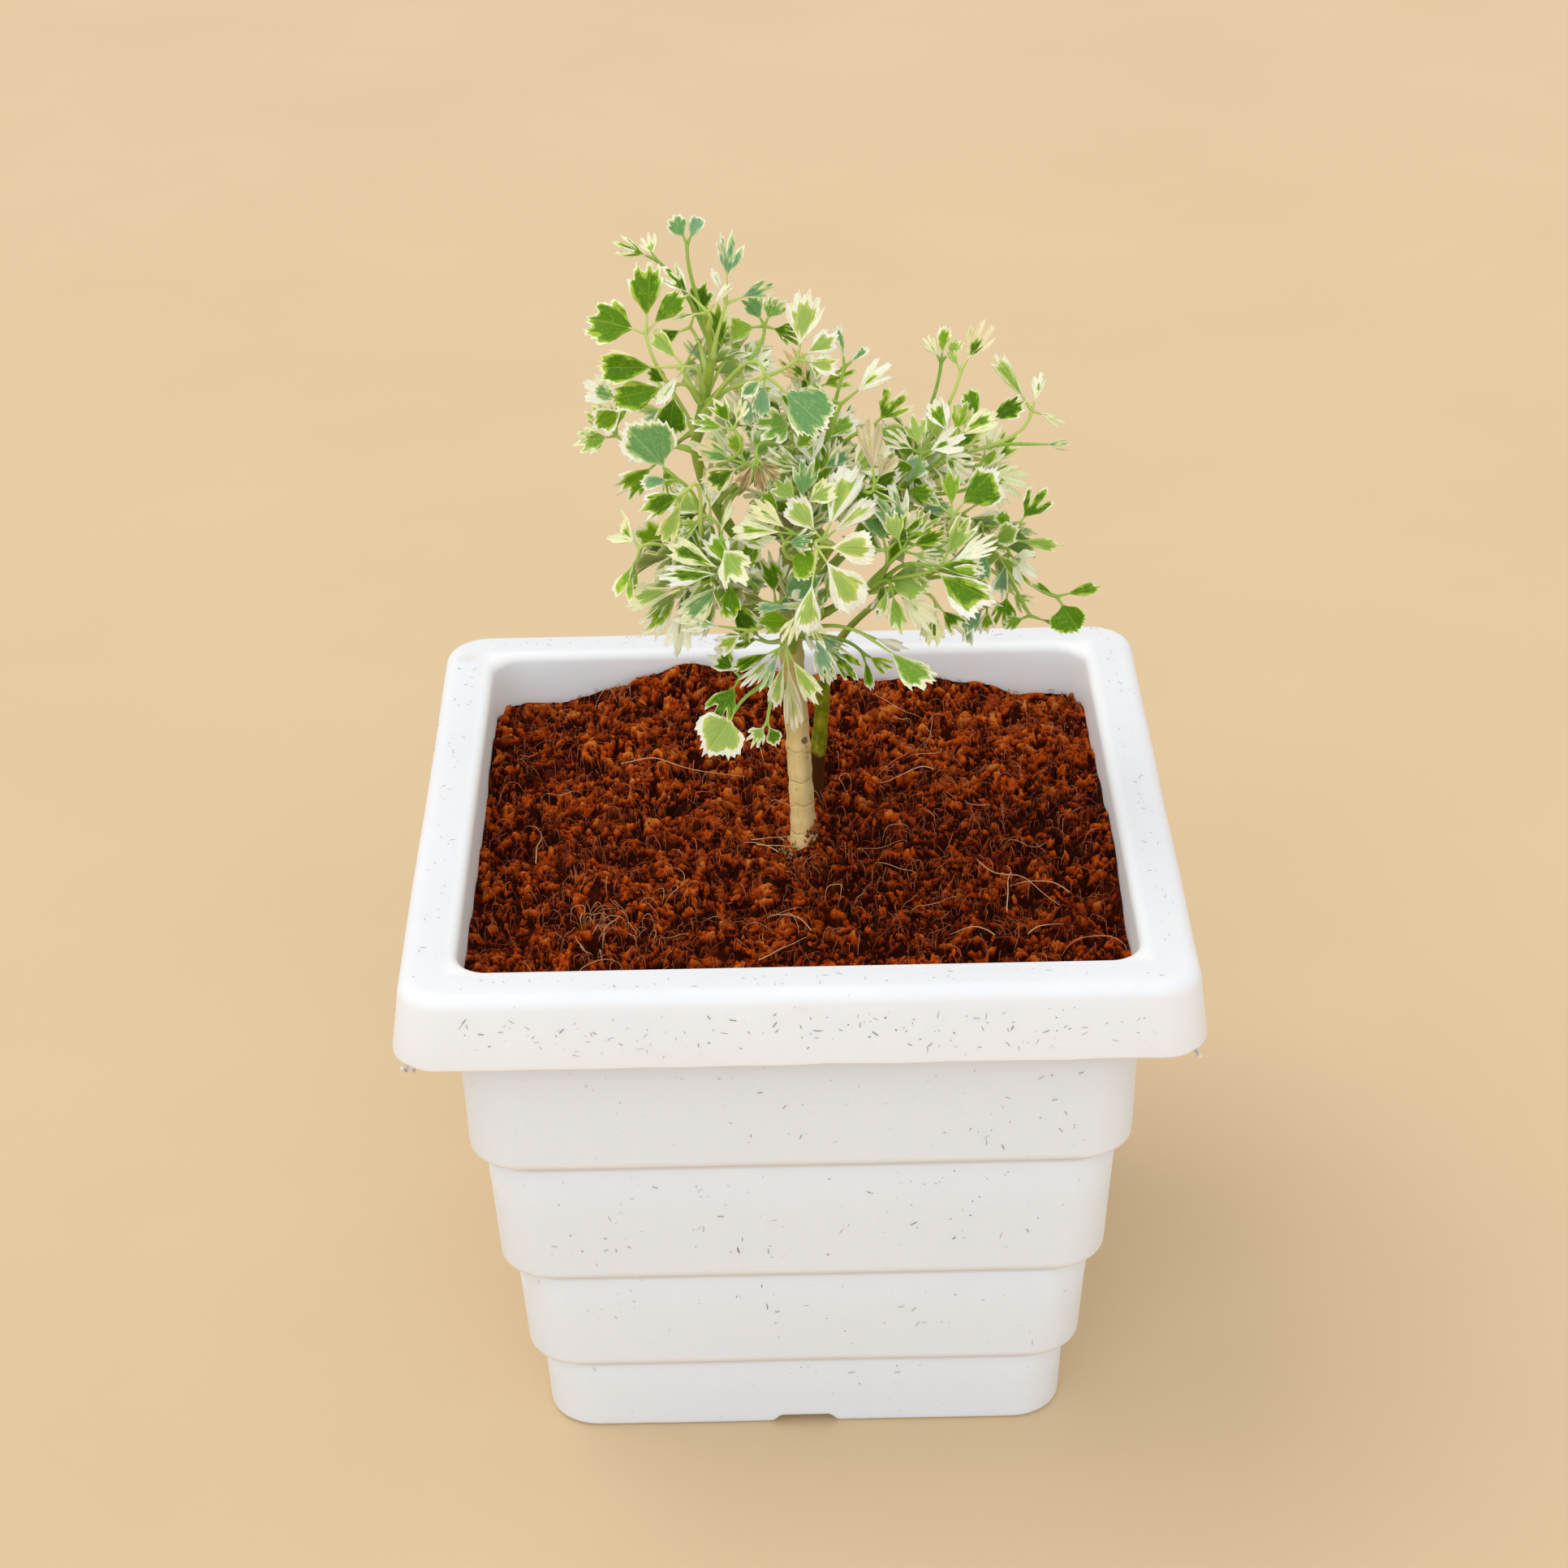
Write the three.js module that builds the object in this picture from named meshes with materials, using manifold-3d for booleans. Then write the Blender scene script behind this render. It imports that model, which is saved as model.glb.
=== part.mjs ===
// A variegated aralia in a square white planter filled with coir. Millimetres, +Z up.
// The origin is the middle of the pot's foot, and the side that the viewer sees is -Y.

import * as THREE from 'three';
import { mergeVertices } from 'three/addons/utils/BufferGeometryUtils.js';
import Module from 'manifold-3d';

const wasm = await Module();
wasm.setup();

// Planter: widths are halves, from the middle to the face.
const POT_HEIGHT = 118;
const WALL = 2;
const FLOOR_TOP = 4.5;
const FOOT_RECESS = 2.5;
const FOOT_INNER_HALF = 43;
const SKIRT_BOTTOM = 103;
const SKIRT_HALF = 76;
const SKIRT_TOP_HALF = 74.5;
const RIM_EDGE_RADIUS = 3;
const RIM_CORNER = 9.5;
const OPENING_HALF = 65.8;
const OPENING_EDGE_RADIUS = 2;
const OPENING_WALL_HALF = 63.8;
const OPENING_CORNER = 7;
const COLLAR_BOTTOM = 105.5; // where the wall behind the skirt steps in to the first band
const BODY_CORNER = 10;
const BAND_EDGE_RADIUS = 2.6;
const FOOT_EDGE_RADIUS = 1.2;
const BANDS = [
  { edge: 0, bottom: 52.2, top: 53 },
  { edge: 17.6, bottom: 55.7, top: 57.1 },
  { edge: 42.2, bottom: 59.8, top: 61.4 },
  { edge: 71.4, bottom: 64.1, top: 65 },
];
const CORNER_STEPS = 3;
const EDGE_STEPS = 2;
const DRAIN_HOLE_RADIUS = 4;
const DRAIN_HOLE_REACH = 26;
const DRAIN_HOLE_SIDES = 10;
const NOTCH_HEIGHT = 2.1;
const NOTCH_TOP_WIDTH = 10;
const NOTCH_BOTTOM_WIDTH = 14.4;

// Coir: it fills the pot with a little clearance and stands highest against the back.
const CLEARANCE = 0.3;
const SOIL_LEVEL = 108;
const SOIL_LOWEST = 106.5; // above the step behind the skirt
const SOIL_RINGS = 8;
const SOIL_SIDE_STEPS = 4;
const SOIL_MOUNDS = [
  // x, y, height, and how far it spreads
  [-16, 62, 7, 22],
  [24, 62, 3, 18],
  [62, -6, 4, 16],
  [-60, 60, -3.5, 14],
  [62, 60, -4, 14],
  [-62, 6, -2, 18],
  [2, 2, -1.2, 10],
  [30, -40, 1.4, 16],
  [-34, -22, 1.2, 15],
];
const SOIL_WAVE_HEIGHT = 0.55;

// Stems.
const STEM_DEPTH = 62; // the height in the pot that the cut ends reach down to
const TRUNK_ROUTE = [[3, 1, STEM_DEPTH], [2.4, 0, 90], [2, 0, 107], [1, 0, 132], [0, 0, 152], [0, 1, 172]];
const TRUNK_RADII = [2.7, 2.6, 2.5, 2.35, 2.3, 1.9];
const TRUNK_SIDES = 8;
const TRUNK_STEPS = 12;
const SECOND_STEM_ROUTE = [
  [4, 20, STEM_DEPTH], [5, 19, 108], [6, 15.5, 127], [8, 12, 143], [16, 9, 155], [28, 6, 164], [41, 3, 172],
];
const SECOND_STEM_RADII = [1.6, 1.5, 1.5, 1.5, 1.4, 1.2, 0.9];
const SHOOT_SIDES = 5;
const SECOND_STEM_STEPS = 12;
const SHOOT_STEP = 9; // the length of a shoot's stem between two rings

// Leaves: each is a stalk with leaflets that spread from its end, the hub.
const BLADE_THICKNESS = 0.7;
const STALK_RADIUS = 0.9;
const STALK_END_RADIUS = 0.65;
const STALK_SIDES = 3;
const SHORT_STALK = 22;
const STALKLET_HALF_WIDTH = 0.42;
const STALKLET_SHARE = 0.22; // the bare part of a leaflet's length
const LONG_STALKLET = 3.5;
const WAVE_HEIGHT = 0.5;
const BLADE_GAP = 0.5; // half of the least space between neighbouring blades
const LEAST_SPREAD = 0.07; // an angle beside the rib
const WIDEST_ROOM = 1.4; // an angle beside a blade beyond which it has all the room it needs
const SHOULDER = 0.62; // a blade's reach at its side edges, as a share of its reach at the tip
const LOBE_SPACING = 0.72;
const BROAD_SAMPLES = [-1, -0.7, -0.36, 0, 0.36, 0.7, 1];
const OVAL_SAMPLES = [-1, -0.6, 0, 0.6, 1];
const NARROW_SAMPLES = [-0.85, 0, 0.85];
const BROAD_FORM = 0.85; // width to length of a blade
const NARROW_FORM = 0.58;
const VIEW_TILT = THREE.MathUtils.degToRad(30); // blades look this far above the level
const FRONT = -90;

// The random numbers repeat, so that the plant is the same each time.
function seededRandom(seed) {
  let state = seed;
  return () => {
    state = (state * 16807) % 2147483647;
    return state / 2147483647;
  };
}

function toVector(point) {
  return new THREE.Vector3(point[0], point[1], point[2]);
}

function smoothRoute(points) {
  return new THREE.CatmullRomCurve3(points.map(toVector), false, 'catmullrom', 0.5);
}

// Closed meshes and solids.
function toSolid(geometry) {
  const bare = geometry.index ? geometry.toNonIndexed() : geometry.clone();
  bare.deleteAttribute('normal');
  bare.deleteAttribute('uv');
  const merged = mergeVertices(bare, 1e-4);
  return new wasm.Manifold(
    new wasm.Mesh({
      numProp: 3,
      vertProperties: new Float32Array(merged.attributes.position.array),
      triVerts: new Uint32Array(merged.index.array),
    }),
  );
}

function toGeometry(solid) {
  const mesh = solid.getMesh();
  const geometry = new THREE.BufferGeometry();
  geometry.setAttribute('position', new THREE.BufferAttribute(new Float32Array(mesh.vertProperties), 3));
  geometry.setIndex(new THREE.BufferAttribute(new Uint32Array(mesh.triVerts), 1));
  geometry.computeVertexNormals();
  return geometry;
}

function joinAll(solids) {
  return solids.reduce((whole, solid) => whole.add(solid));
}

// What a cut leaves loose is dropped: the largest body is kept.
function largestBody(solid) {
  return solid.decompose().reduce((best, body) => (body.volume() > best.volume() ? body : best));
}

// A skin over rings that have the same number of points, closed by a flat cap at each end.
function loft(rings) {
  const count = rings[0].length;
  const positions = rings.flat();
  const index = [];
  for (let ring = 0; ring + 1 < rings.length; ring += 1) {
    for (let point = 0; point < count; point += 1) {
      const next = (point + 1) % count;
      const low = ring * count;
      const high = low + count;
      index.push(low + point, low + next, high + next);
      index.push(low + point, high + next, high + point);
    }
  }
  const last = (rings.length - 1) * count;
  for (let point = 1; point + 1 < count; point += 1) {
    index.push(0, point + 1, point);
    index.push(last, last + point, last + point + 1);
  }
  const geometry = new THREE.BufferGeometry().setFromPoints(positions);
  geometry.setIndex(index);
  return geometry;
}

// A round stem along a curve, whose radius changes evenly between the given ones. A grown one is larger
// all round and at its ends, to cut the room that the stem needs.
function taperedTube(curve, radii, sides, steps, grown = 0) {
  const frames = curve.computeFrenetFrames(steps, false);
  const rings = [];
  for (let step = 0; step <= steps; step += 1) {
    const along = step / steps;
    const centre = curve.getPointAt(along);
    if (step === 0 || step === steps) {
      centre.addScaledVector(curve.getTangentAt(along), step === 0 ? -grown : grown);
    }
    const place = along * (radii.length - 1);
    const slot = Math.min(Math.floor(place), radii.length - 2);
    const bare = THREE.MathUtils.lerp(radii[slot], radii[slot + 1], place - slot);
    const radius = bare + grown / Math.cos(Math.PI / sides);
    const ring = [];
    for (let side = 0; side < sides; side += 1) {
      const angle = (side / sides) * 2 * Math.PI;
      const point = centre.clone();
      point.addScaledVector(frames.normals[step], Math.cos(angle) * radius);
      point.addScaledVector(frames.binormals[step], Math.sin(angle) * radius);
      ring.push(point);
    }
    rings.push(ring);
  }
  return loft(rings);
}

// A level square ring with round corners, anticlockwise from above.
function squareRing(half, corner, height, sideSteps = 1) {
  const points = [];
  for (let quarter = 0; quarter < 4; quarter += 1) {
    const turn = (quarter * Math.PI) / 2;
    for (let step = 0; step < CORNER_STEPS + sideSteps; step += 1) {
      const angle = (Math.min(step, CORNER_STEPS) / CORNER_STEPS) * (Math.PI / 2);
      const slide = Math.max(step - CORNER_STEPS, 0) / sideSteps;
      const x = half - corner + corner * Math.cos(angle) - slide * 2 * (half - corner);
      const y = half - corner + corner * Math.sin(angle);
      points.push(
        new THREE.Vector3(
          x * Math.cos(turn) - y * Math.sin(turn),
          x * Math.sin(turn) + y * Math.cos(turn),
          height,
        ),
      );
    }
  }
  return points;
}

// Points of a quarter round in the pot's section, as [half width, height].
function quarterRound(half, height, radius, from, to) {
  const points = [];
  for (let step = 0; step <= EDGE_STEPS; step += 1) {
    const angle = THREE.MathUtils.degToRad(THREE.MathUtils.lerp(from, to, step / EDGE_STEPS));
    points.push([half + radius * Math.cos(angle), height + radius * Math.sin(angle)]);
  }
  return points;
}

function bandOutline() {
  return BANDS.flatMap(({ edge, bottom, top }, band) => {
    const radius = edge === 0 ? FOOT_EDGE_RADIUS : BAND_EDGE_RADIUS;
    const upper = band + 1 < BANDS.length ? BANDS[band + 1].edge : SKIRT_BOTTOM;
    return [...quarterRound(bottom - radius, edge + radius, radius, -90, 0), [top, upper]];
  });
}

// The inside of the wall keeps the wall's thickness at each step, from the top down to one level.
function innerOutline() {
  const points = [
    ...quarterRound(OPENING_HALF, POT_HEIGHT - OPENING_EDGE_RADIUS, OPENING_EDGE_RADIUS, 90, 180),
    [OPENING_WALL_HALF - 0.3, COLLAR_BOTTOM],
  ];
  let level = COLLAR_BOTTOM;
  for (const { edge, bottom, top } of [...BANDS].reverse()) {
    points.push([top - WALL, level]);
    level = edge === 0 ? FLOOR_TOP : edge + WALL;
    points.push([bottom - WALL, level]);
  }
  return points;
}

function potSolid() {
  const outside = [
    [FOOT_INNER_HALF - 0.6, FOOT_RECESS],
    [FOOT_INNER_HALF, 0],
    ...bandOutline(),
    [OPENING_HALF + 0.4, COLLAR_BOTTOM],
    [OPENING_HALF + 0.6, POT_HEIGHT - WALL - 0.4],
    [SKIRT_TOP_HALF - WALL - 0.6, POT_HEIGHT - WALL - 0.4],
    [SKIRT_HALF - WALL, SKIRT_BOTTOM + 0.4],
    [SKIRT_HALF - 1.2, SKIRT_BOTTOM],
    [SKIRT_HALF, SKIRT_BOTTOM + 0.8],
    ...quarterRound(SKIRT_TOP_HALF - RIM_EDGE_RADIUS, POT_HEIGHT - RIM_EDGE_RADIUS, RIM_EDGE_RADIUS, 6, 90),
  ];
  const outerRings = outside.map(([half, height]) => {
    const corner = half > OPENING_HALF ? RIM_CORNER - 0.6 * (SKIRT_HALF - half) : BODY_CORNER;
    return squareRing(half, Math.max(corner, OPENING_CORNER), height);
  });
  const innerRings = innerOutline().map(([half, height]) => squareRing(half, OPENING_CORNER, height));
  const shell = toSolid(loft([...outerRings, ...innerRings]));
  return shell.subtract(joinAll([...drainHoles(), ...footNotches()]));
}

function drainHoles() {
  const places = [[0, 0], [1, 1], [-1, 1], [-1, -1], [1, -1]];
  return places.map(([x, y]) => {
    const hole = new THREE.CylinderGeometry(
      DRAIN_HOLE_RADIUS, DRAIN_HOLE_RADIUS, 4 * FLOOR_TOP, DRAIN_HOLE_SIDES,
    );
    hole.rotateX(Math.PI / 2);
    hole.translate(x * DRAIN_HOLE_REACH, y * DRAIN_HOLE_REACH, 0);
    return toSolid(hole);
  });
}

// A shallow water gap under the middle of each side of the foot.
function footNotches() {
  const outline = new THREE.Shape([
    new THREE.Vector2(-NOTCH_BOTTOM_WIDTH / 2, -1),
    new THREE.Vector2(NOTCH_BOTTOM_WIDTH / 2, -1),
    new THREE.Vector2(NOTCH_TOP_WIDTH / 2, NOTCH_HEIGHT),
    new THREE.Vector2(-NOTCH_TOP_WIDTH / 2, NOTCH_HEIGHT),
  ]);
  const notches = [];
  for (let side = 0; side < 2; side += 1) {
    const bar = new THREE.ExtrudeGeometry(outline, { depth: 2 * SKIRT_HALF, bevelEnabled: false });
    bar.translate(0, 0, -SKIRT_HALF);
    bar.rotateX(Math.PI / 2);
    bar.rotateZ((side * Math.PI) / 2);
    notches.push(toSolid(bar));
  }
  return notches;
}

function soilHeight(x, y) {
  let height = SOIL_LEVEL;
  for (const [moundX, moundY, rise, spread] of SOIL_MOUNDS) {
    height += rise * Math.exp(-((x - moundX) ** 2 + (y - moundY) ** 2) / spread ** 2);
  }
  height += SOIL_WAVE_HEIGHT * Math.sin(0.37 * x + 0.16 * y);
  height += SOIL_WAVE_HEIGHT * Math.sin(0.21 * x - 0.41 * y + 1.3);
  return Math.max(height, SOIL_LOWEST);
}

// The coir has the shape of the pot's inside, and its top is drawn in rings from the wall inward.
function soilSolid() {
  const rings = innerOutline()
    .slice(EDGE_STEPS + 1)
    .reverse()
    .map(([half, height]) => {
      const level = height + CLEARANCE;
      return squareRing(half - CLEARANCE, OPENING_CORNER - CLEARANCE, level, SOIL_SIDE_STEPS);
    });
  const edgeHalf = OPENING_WALL_HALF - 0.3 - CLEARANCE;
  for (let step = SOIL_RINGS; step >= 1; step -= 1) {
    const half = (edgeHalf * step) / SOIL_RINGS;
    const corner = Math.min(OPENING_CORNER - CLEARANCE, half * 0.8);
    const ring = squareRing(half, corner, 0, SOIL_SIDE_STEPS);
    ring.forEach((point) => point.setZ(soilHeight(point.x, point.y)));
    rings.push(ring);
  }
  return toSolid(loft(rings));
}

// A blade's reach from its foot towards one direction, where share runs from -1 to 1 over its spread.
// Broad blades are cut into three lobes.
function bladeReach(share, form) {
  const depth = THREE.MathUtils.clamp(0.55 * (form - 0.35), 0, 0.32);
  const turn = (2 * Math.PI * share) / LOBE_SPACING;
  const notch = Math.abs(share) < LOBE_SPACING ? 0.5 - 0.5 * Math.cos(turn) : 0;
  return (1 - (1 - SHOULDER) * share * share) * (1 - depth * notch);
}

// How far a blade spreads to one side of its rib, as an angle at its foot. Its edge stays within the room,
// which is the angle at the hub up to halfway to the neighbour.
function sideSpread({ length, stalklet }, spread, room) {
  if (room > WIDEST_ROOM) {
    return spread;
  }
  const clear = stalklet * Math.sin(room) - BLADE_GAP * Math.cos(room);
  const reach = (length - stalklet) * (clear > 0 ? 1 : SHOULDER);
  const limit = room + Math.asin(THREE.MathUtils.clamp(clear / reach, -1, 1));
  return THREE.MathUtils.clamp(limit, LEAST_SPREAD, spread);
}

// A leaflet's outline as [along, across] from the hub: a narrow stalklet and then the blade. The rooms are
// those beside it, clockwise and anticlockwise.
function leafletOutline(leaflet, rooms) {
  const { length, width, stalklet } = leaflet;
  const blade = length - stalklet;
  const form = width / blade;
  const spread = Math.asin(Math.min(0.8 * form, 0.95));
  const spreads = rooms.map((room) => sideSpread(leaflet, spread, room));
  const oval = form < NARROW_FORM ? NARROW_SAMPLES : OVAL_SAMPLES;
  const samples = form > BROAD_FORM ? BROAD_SAMPLES : oval;
  const points = samples.map((share) => {
    const angle = share * spreads[share < 0 ? 0 : 1];
    const reach = blade * bladeReach(share, form);
    return [stalklet + reach * Math.cos(angle), reach * Math.sin(angle)];
  });
  if (stalklet > LONG_STALKLET) {
    points.unshift([stalklet, -STALKLET_HALF_WIDTH]);
    points.push([stalklet, STALKLET_HALF_WIDTH]);
  }
  return points;
}

// Directions of a leaf: where its blades look, and right and up as seen from there.
function leafAxes(facing) {
  const angle = THREE.MathUtils.degToRad(facing);
  const level = Math.cos(VIEW_TILT);
  const toViewer = new THREE.Vector3(
    Math.cos(angle) * level, Math.sin(angle) * level, Math.sin(VIEW_TILT),
  );
  const right = new THREE.Vector3(-Math.sin(angle), Math.cos(angle), 0);
  const up = new THREE.Vector3().crossVectors(toViewer, right);
  return { toViewer, right, up };
}

function clockDirection(axes, clock) {
  const angle = THREE.MathUtils.degToRad(clock);
  return axes.right.clone().multiplyScalar(Math.cos(angle)).addScaledVector(axes.up, Math.sin(angle));
}

// A leaflet is [clock, length, width, stalklet]: its direction in degrees as seen by the viewer, 0 to the
// right and 90 up, and its sizes. Its nod, turn, fold, droop and wave are drawn at random.
function posedLeaflets(axes, leaflets, random) {
  return leaflets.map(([clock, length, width, stalklet = STALKLET_SHARE * length], index) => {
    const nod = (index % 2 ? -0.4 : 0.4) * random();
    const turn = 0.6 * (random() - 0.5);
    const fold = 0.4 * random() - 0.1;
    const droop = 0.22 * random();
    const wave = 2 * Math.PI * random();
    const flat = clockDirection(axes, clock);
    const along = flat.clone().multiplyScalar(Math.cos(nod)).addScaledVector(axes.toViewer, Math.sin(nod));
    const face = axes.toViewer.clone().multiplyScalar(Math.cos(nod)).addScaledVector(flat, -Math.sin(nod));
    face.applyAxisAngle(along, turn);
    const across = new THREE.Vector3().crossVectors(face, along);
    return { clock, length, width, stalklet, along, across, face, fold, droop, wave };
  });
}

// How far a blade leaves its plane: folded up beside the rib, drooping to the tip, and waved.
function bladeBend({ length, width, fold, droop, wave }, out, side) {
  const share = out / length;
  const ripple = WAVE_HEIGHT * share * Math.sin((5 * side) / width + wave);
  return fold * Math.abs(side) - droop * length * share * share + ripple;
}

// The stalk leaves the stem with a rise and arrives at the hub in the blades' plane.
function stalkSolid(start, hub, arrival) {
  const reach = start.distanceTo(hub);
  const rise = new THREE.Vector3(0, 0, 0.12 * reach);
  const curve = new THREE.CubicBezierCurve3(
    start,
    start.clone().lerp(hub, 0.3).add(rise),
    hub.clone().addScaledVector(arrival, -0.3 * reach),
    hub.clone().addScaledVector(arrival, STALK_END_RADIUS),
  );
  const steps = reach < SHORT_STALK ? 2 : 3;
  return toSolid(taperedTube(curve, [STALK_RADIUS, STALK_END_RADIUS], STALK_SIDES, steps));
}

// The leaflets of a leaf as one closed plate. They are spokes about the hub, anticlockwise from the stalk,
// and each two neighbours share the valley point between them. Every point is a pair, above and below.
function leafletPlate(axes, centre, stalkClock, posed) {
  const above = [];
  const below = [];
  const addPair = (point, face) => {
    above.push(point.clone().addScaledVector(face, BLADE_THICKNESS / 2));
    below.push(point.clone().addScaledVector(face, -BLADE_THICKNESS / 2));
    return above.length - 1;
  };
  const faces = [];
  const rim = [];

  const turnFromStalk = (clock) => (((clock - stalkClock) % 360) + 360) % 360;
  const spokes = [...posed].sort((one, other) => turnFromStalk(one.clock) - turnFromStalk(other.clock));
  const turns = [0, ...spokes.map(({ clock }) => turnFromStalk(clock)), 360].map(THREE.MathUtils.degToRad);
  const valleys = turns.slice(1).map((turn, index) => {
    const middle = (turn + turns[index]) / 2;
    const reach = STALKLET_HALF_WIDTH / Math.max(Math.sin((turn - turns[index]) / 2), 0.25);
    const direction = clockDirection(axes, stalkClock + THREE.MathUtils.radToDeg(middle));
    return { pair: addPair(centre.clone().addScaledVector(direction, reach), axes.toViewer), middle, reach };
  });
  for (let corner = 2; corner < valleys.length; corner += 1) {
    faces.push([valleys[0].pair, valleys[corner - 1].pair, valleys[corner].pair]);
  }

  spokes.forEach((leaflet, index) => {
    const turn = turns[index + 1];
    const rooms = [(turn - turns[index]) / 2, (turns[index + 2] - turn) / 2];
    const corners = [valleys[index], valleys[index + 1]].map(({ middle, reach }) => {
      const angle = middle - turn;
      return new THREE.Vector2(Math.cos(angle) * reach, Math.sin(angle) * reach);
    });
    const outline = leafletOutline(leaflet, rooms);
    const contour = [corners[0], ...outline.map(([out, side]) => new THREE.Vector2(out, side)), corners[1]];
    const pairs = outline.map(([out, side]) => {
      const point = centre.clone().addScaledVector(leaflet.along, out);
      point.addScaledVector(leaflet.across, side);
      point.addScaledVector(leaflet.face, bladeBend(leaflet, out, side));
      return addPair(point, leaflet.face);
    });
    const loop = [valleys[index].pair, ...pairs, valleys[index + 1].pair];
    THREE.ShapeUtils.triangulateShape(contour, []).forEach((face) => {
      faces.push(face.map((corner) => loop[corner]));
    });
    rim.push(valleys[index].pair, ...pairs);
  });
  rim.push(valleys.at(-1).pair);

  const count = above.length;
  const index = faces.flatMap(([a, b, c]) => [a, b, c, count + a, count + c, count + b]);
  rim.forEach((from, place) => {
    const to = rim[(place + 1) % rim.length];
    index.push(from, count + from, count + to, from, count + to, to);
  });
  const geometry = new THREE.BufferGeometry().setFromPoints([...above, ...below]);
  geometry.setIndex(index);
  return toSolid(geometry);
}

// A leaf: its stalk arrives from the side that the leaflets leave free.
function leafSolid(route, { at, hub, facing = FRONT, leaflets }, random) {
  const axes = leafAxes(facing);
  const centre = toVector(hub);
  const posed = posedLeaflets(axes, leaflets, random);
  const arrival = new THREE.Vector3();
  posed.forEach(({ clock, length }) => arrival.addScaledVector(clockDirection(axes, clock), length));
  arrival.normalize();
  const stalkAngle = Math.atan2(-arrival.dot(axes.up), -arrival.dot(axes.right));
  const plate = leafletPlate(axes, centre, THREE.MathUtils.radToDeg(stalkAngle), posed);
  return plate.add(stalkSolid(route.getPoint(at), centre, arrival));
}

// A spray of leaves by rule: they climb the shoot and spread over a sector, each looking outward.
function ruledFronds(route, rule, random) {
  const { count, sector, climb, reach, low } = rule;
  const fronds = [];
  for (let index = 0; index < count; index += 1) {
    const at = THREE.MathUtils.lerp(climb[0], climb[1], (index + 0.5) / count);
    const share = (index * 0.618 + 0.25 * random()) % 1;
    const facing = THREE.MathUtils.lerp(sector[0], sector[1], share);
    const lift = THREE.MathUtils.degToRad(low + 65 * random());
    const away = THREE.MathUtils.lerp(reach[0], reach[1], random());
    const angle = THREE.MathUtils.degToRad(facing);
    const start = route.getPoint(at);
    const hub = [
      start.x + away * Math.cos(lift) * Math.cos(angle),
      start.y + away * Math.cos(lift) * Math.sin(angle),
      start.z + away * Math.sin(lift),
    ];
    const axes = leafAxes(facing);
    const outward = toVector(hub).sub(start);
    const clock = THREE.MathUtils.radToDeg(Math.atan2(outward.dot(axes.up), outward.dot(axes.right)));
    const heading = clock + 80 * (random() - 0.5);
    const leaflets = [-72, 0, 72].map((spread) => {
      const length = 9 + 4 * random();
      return [heading + spread, length, length * (0.45 + 0.3 * random())];
    });
    fronds.push({ at, hub, facing, leaflets });
  }
  return fronds;
}

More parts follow.
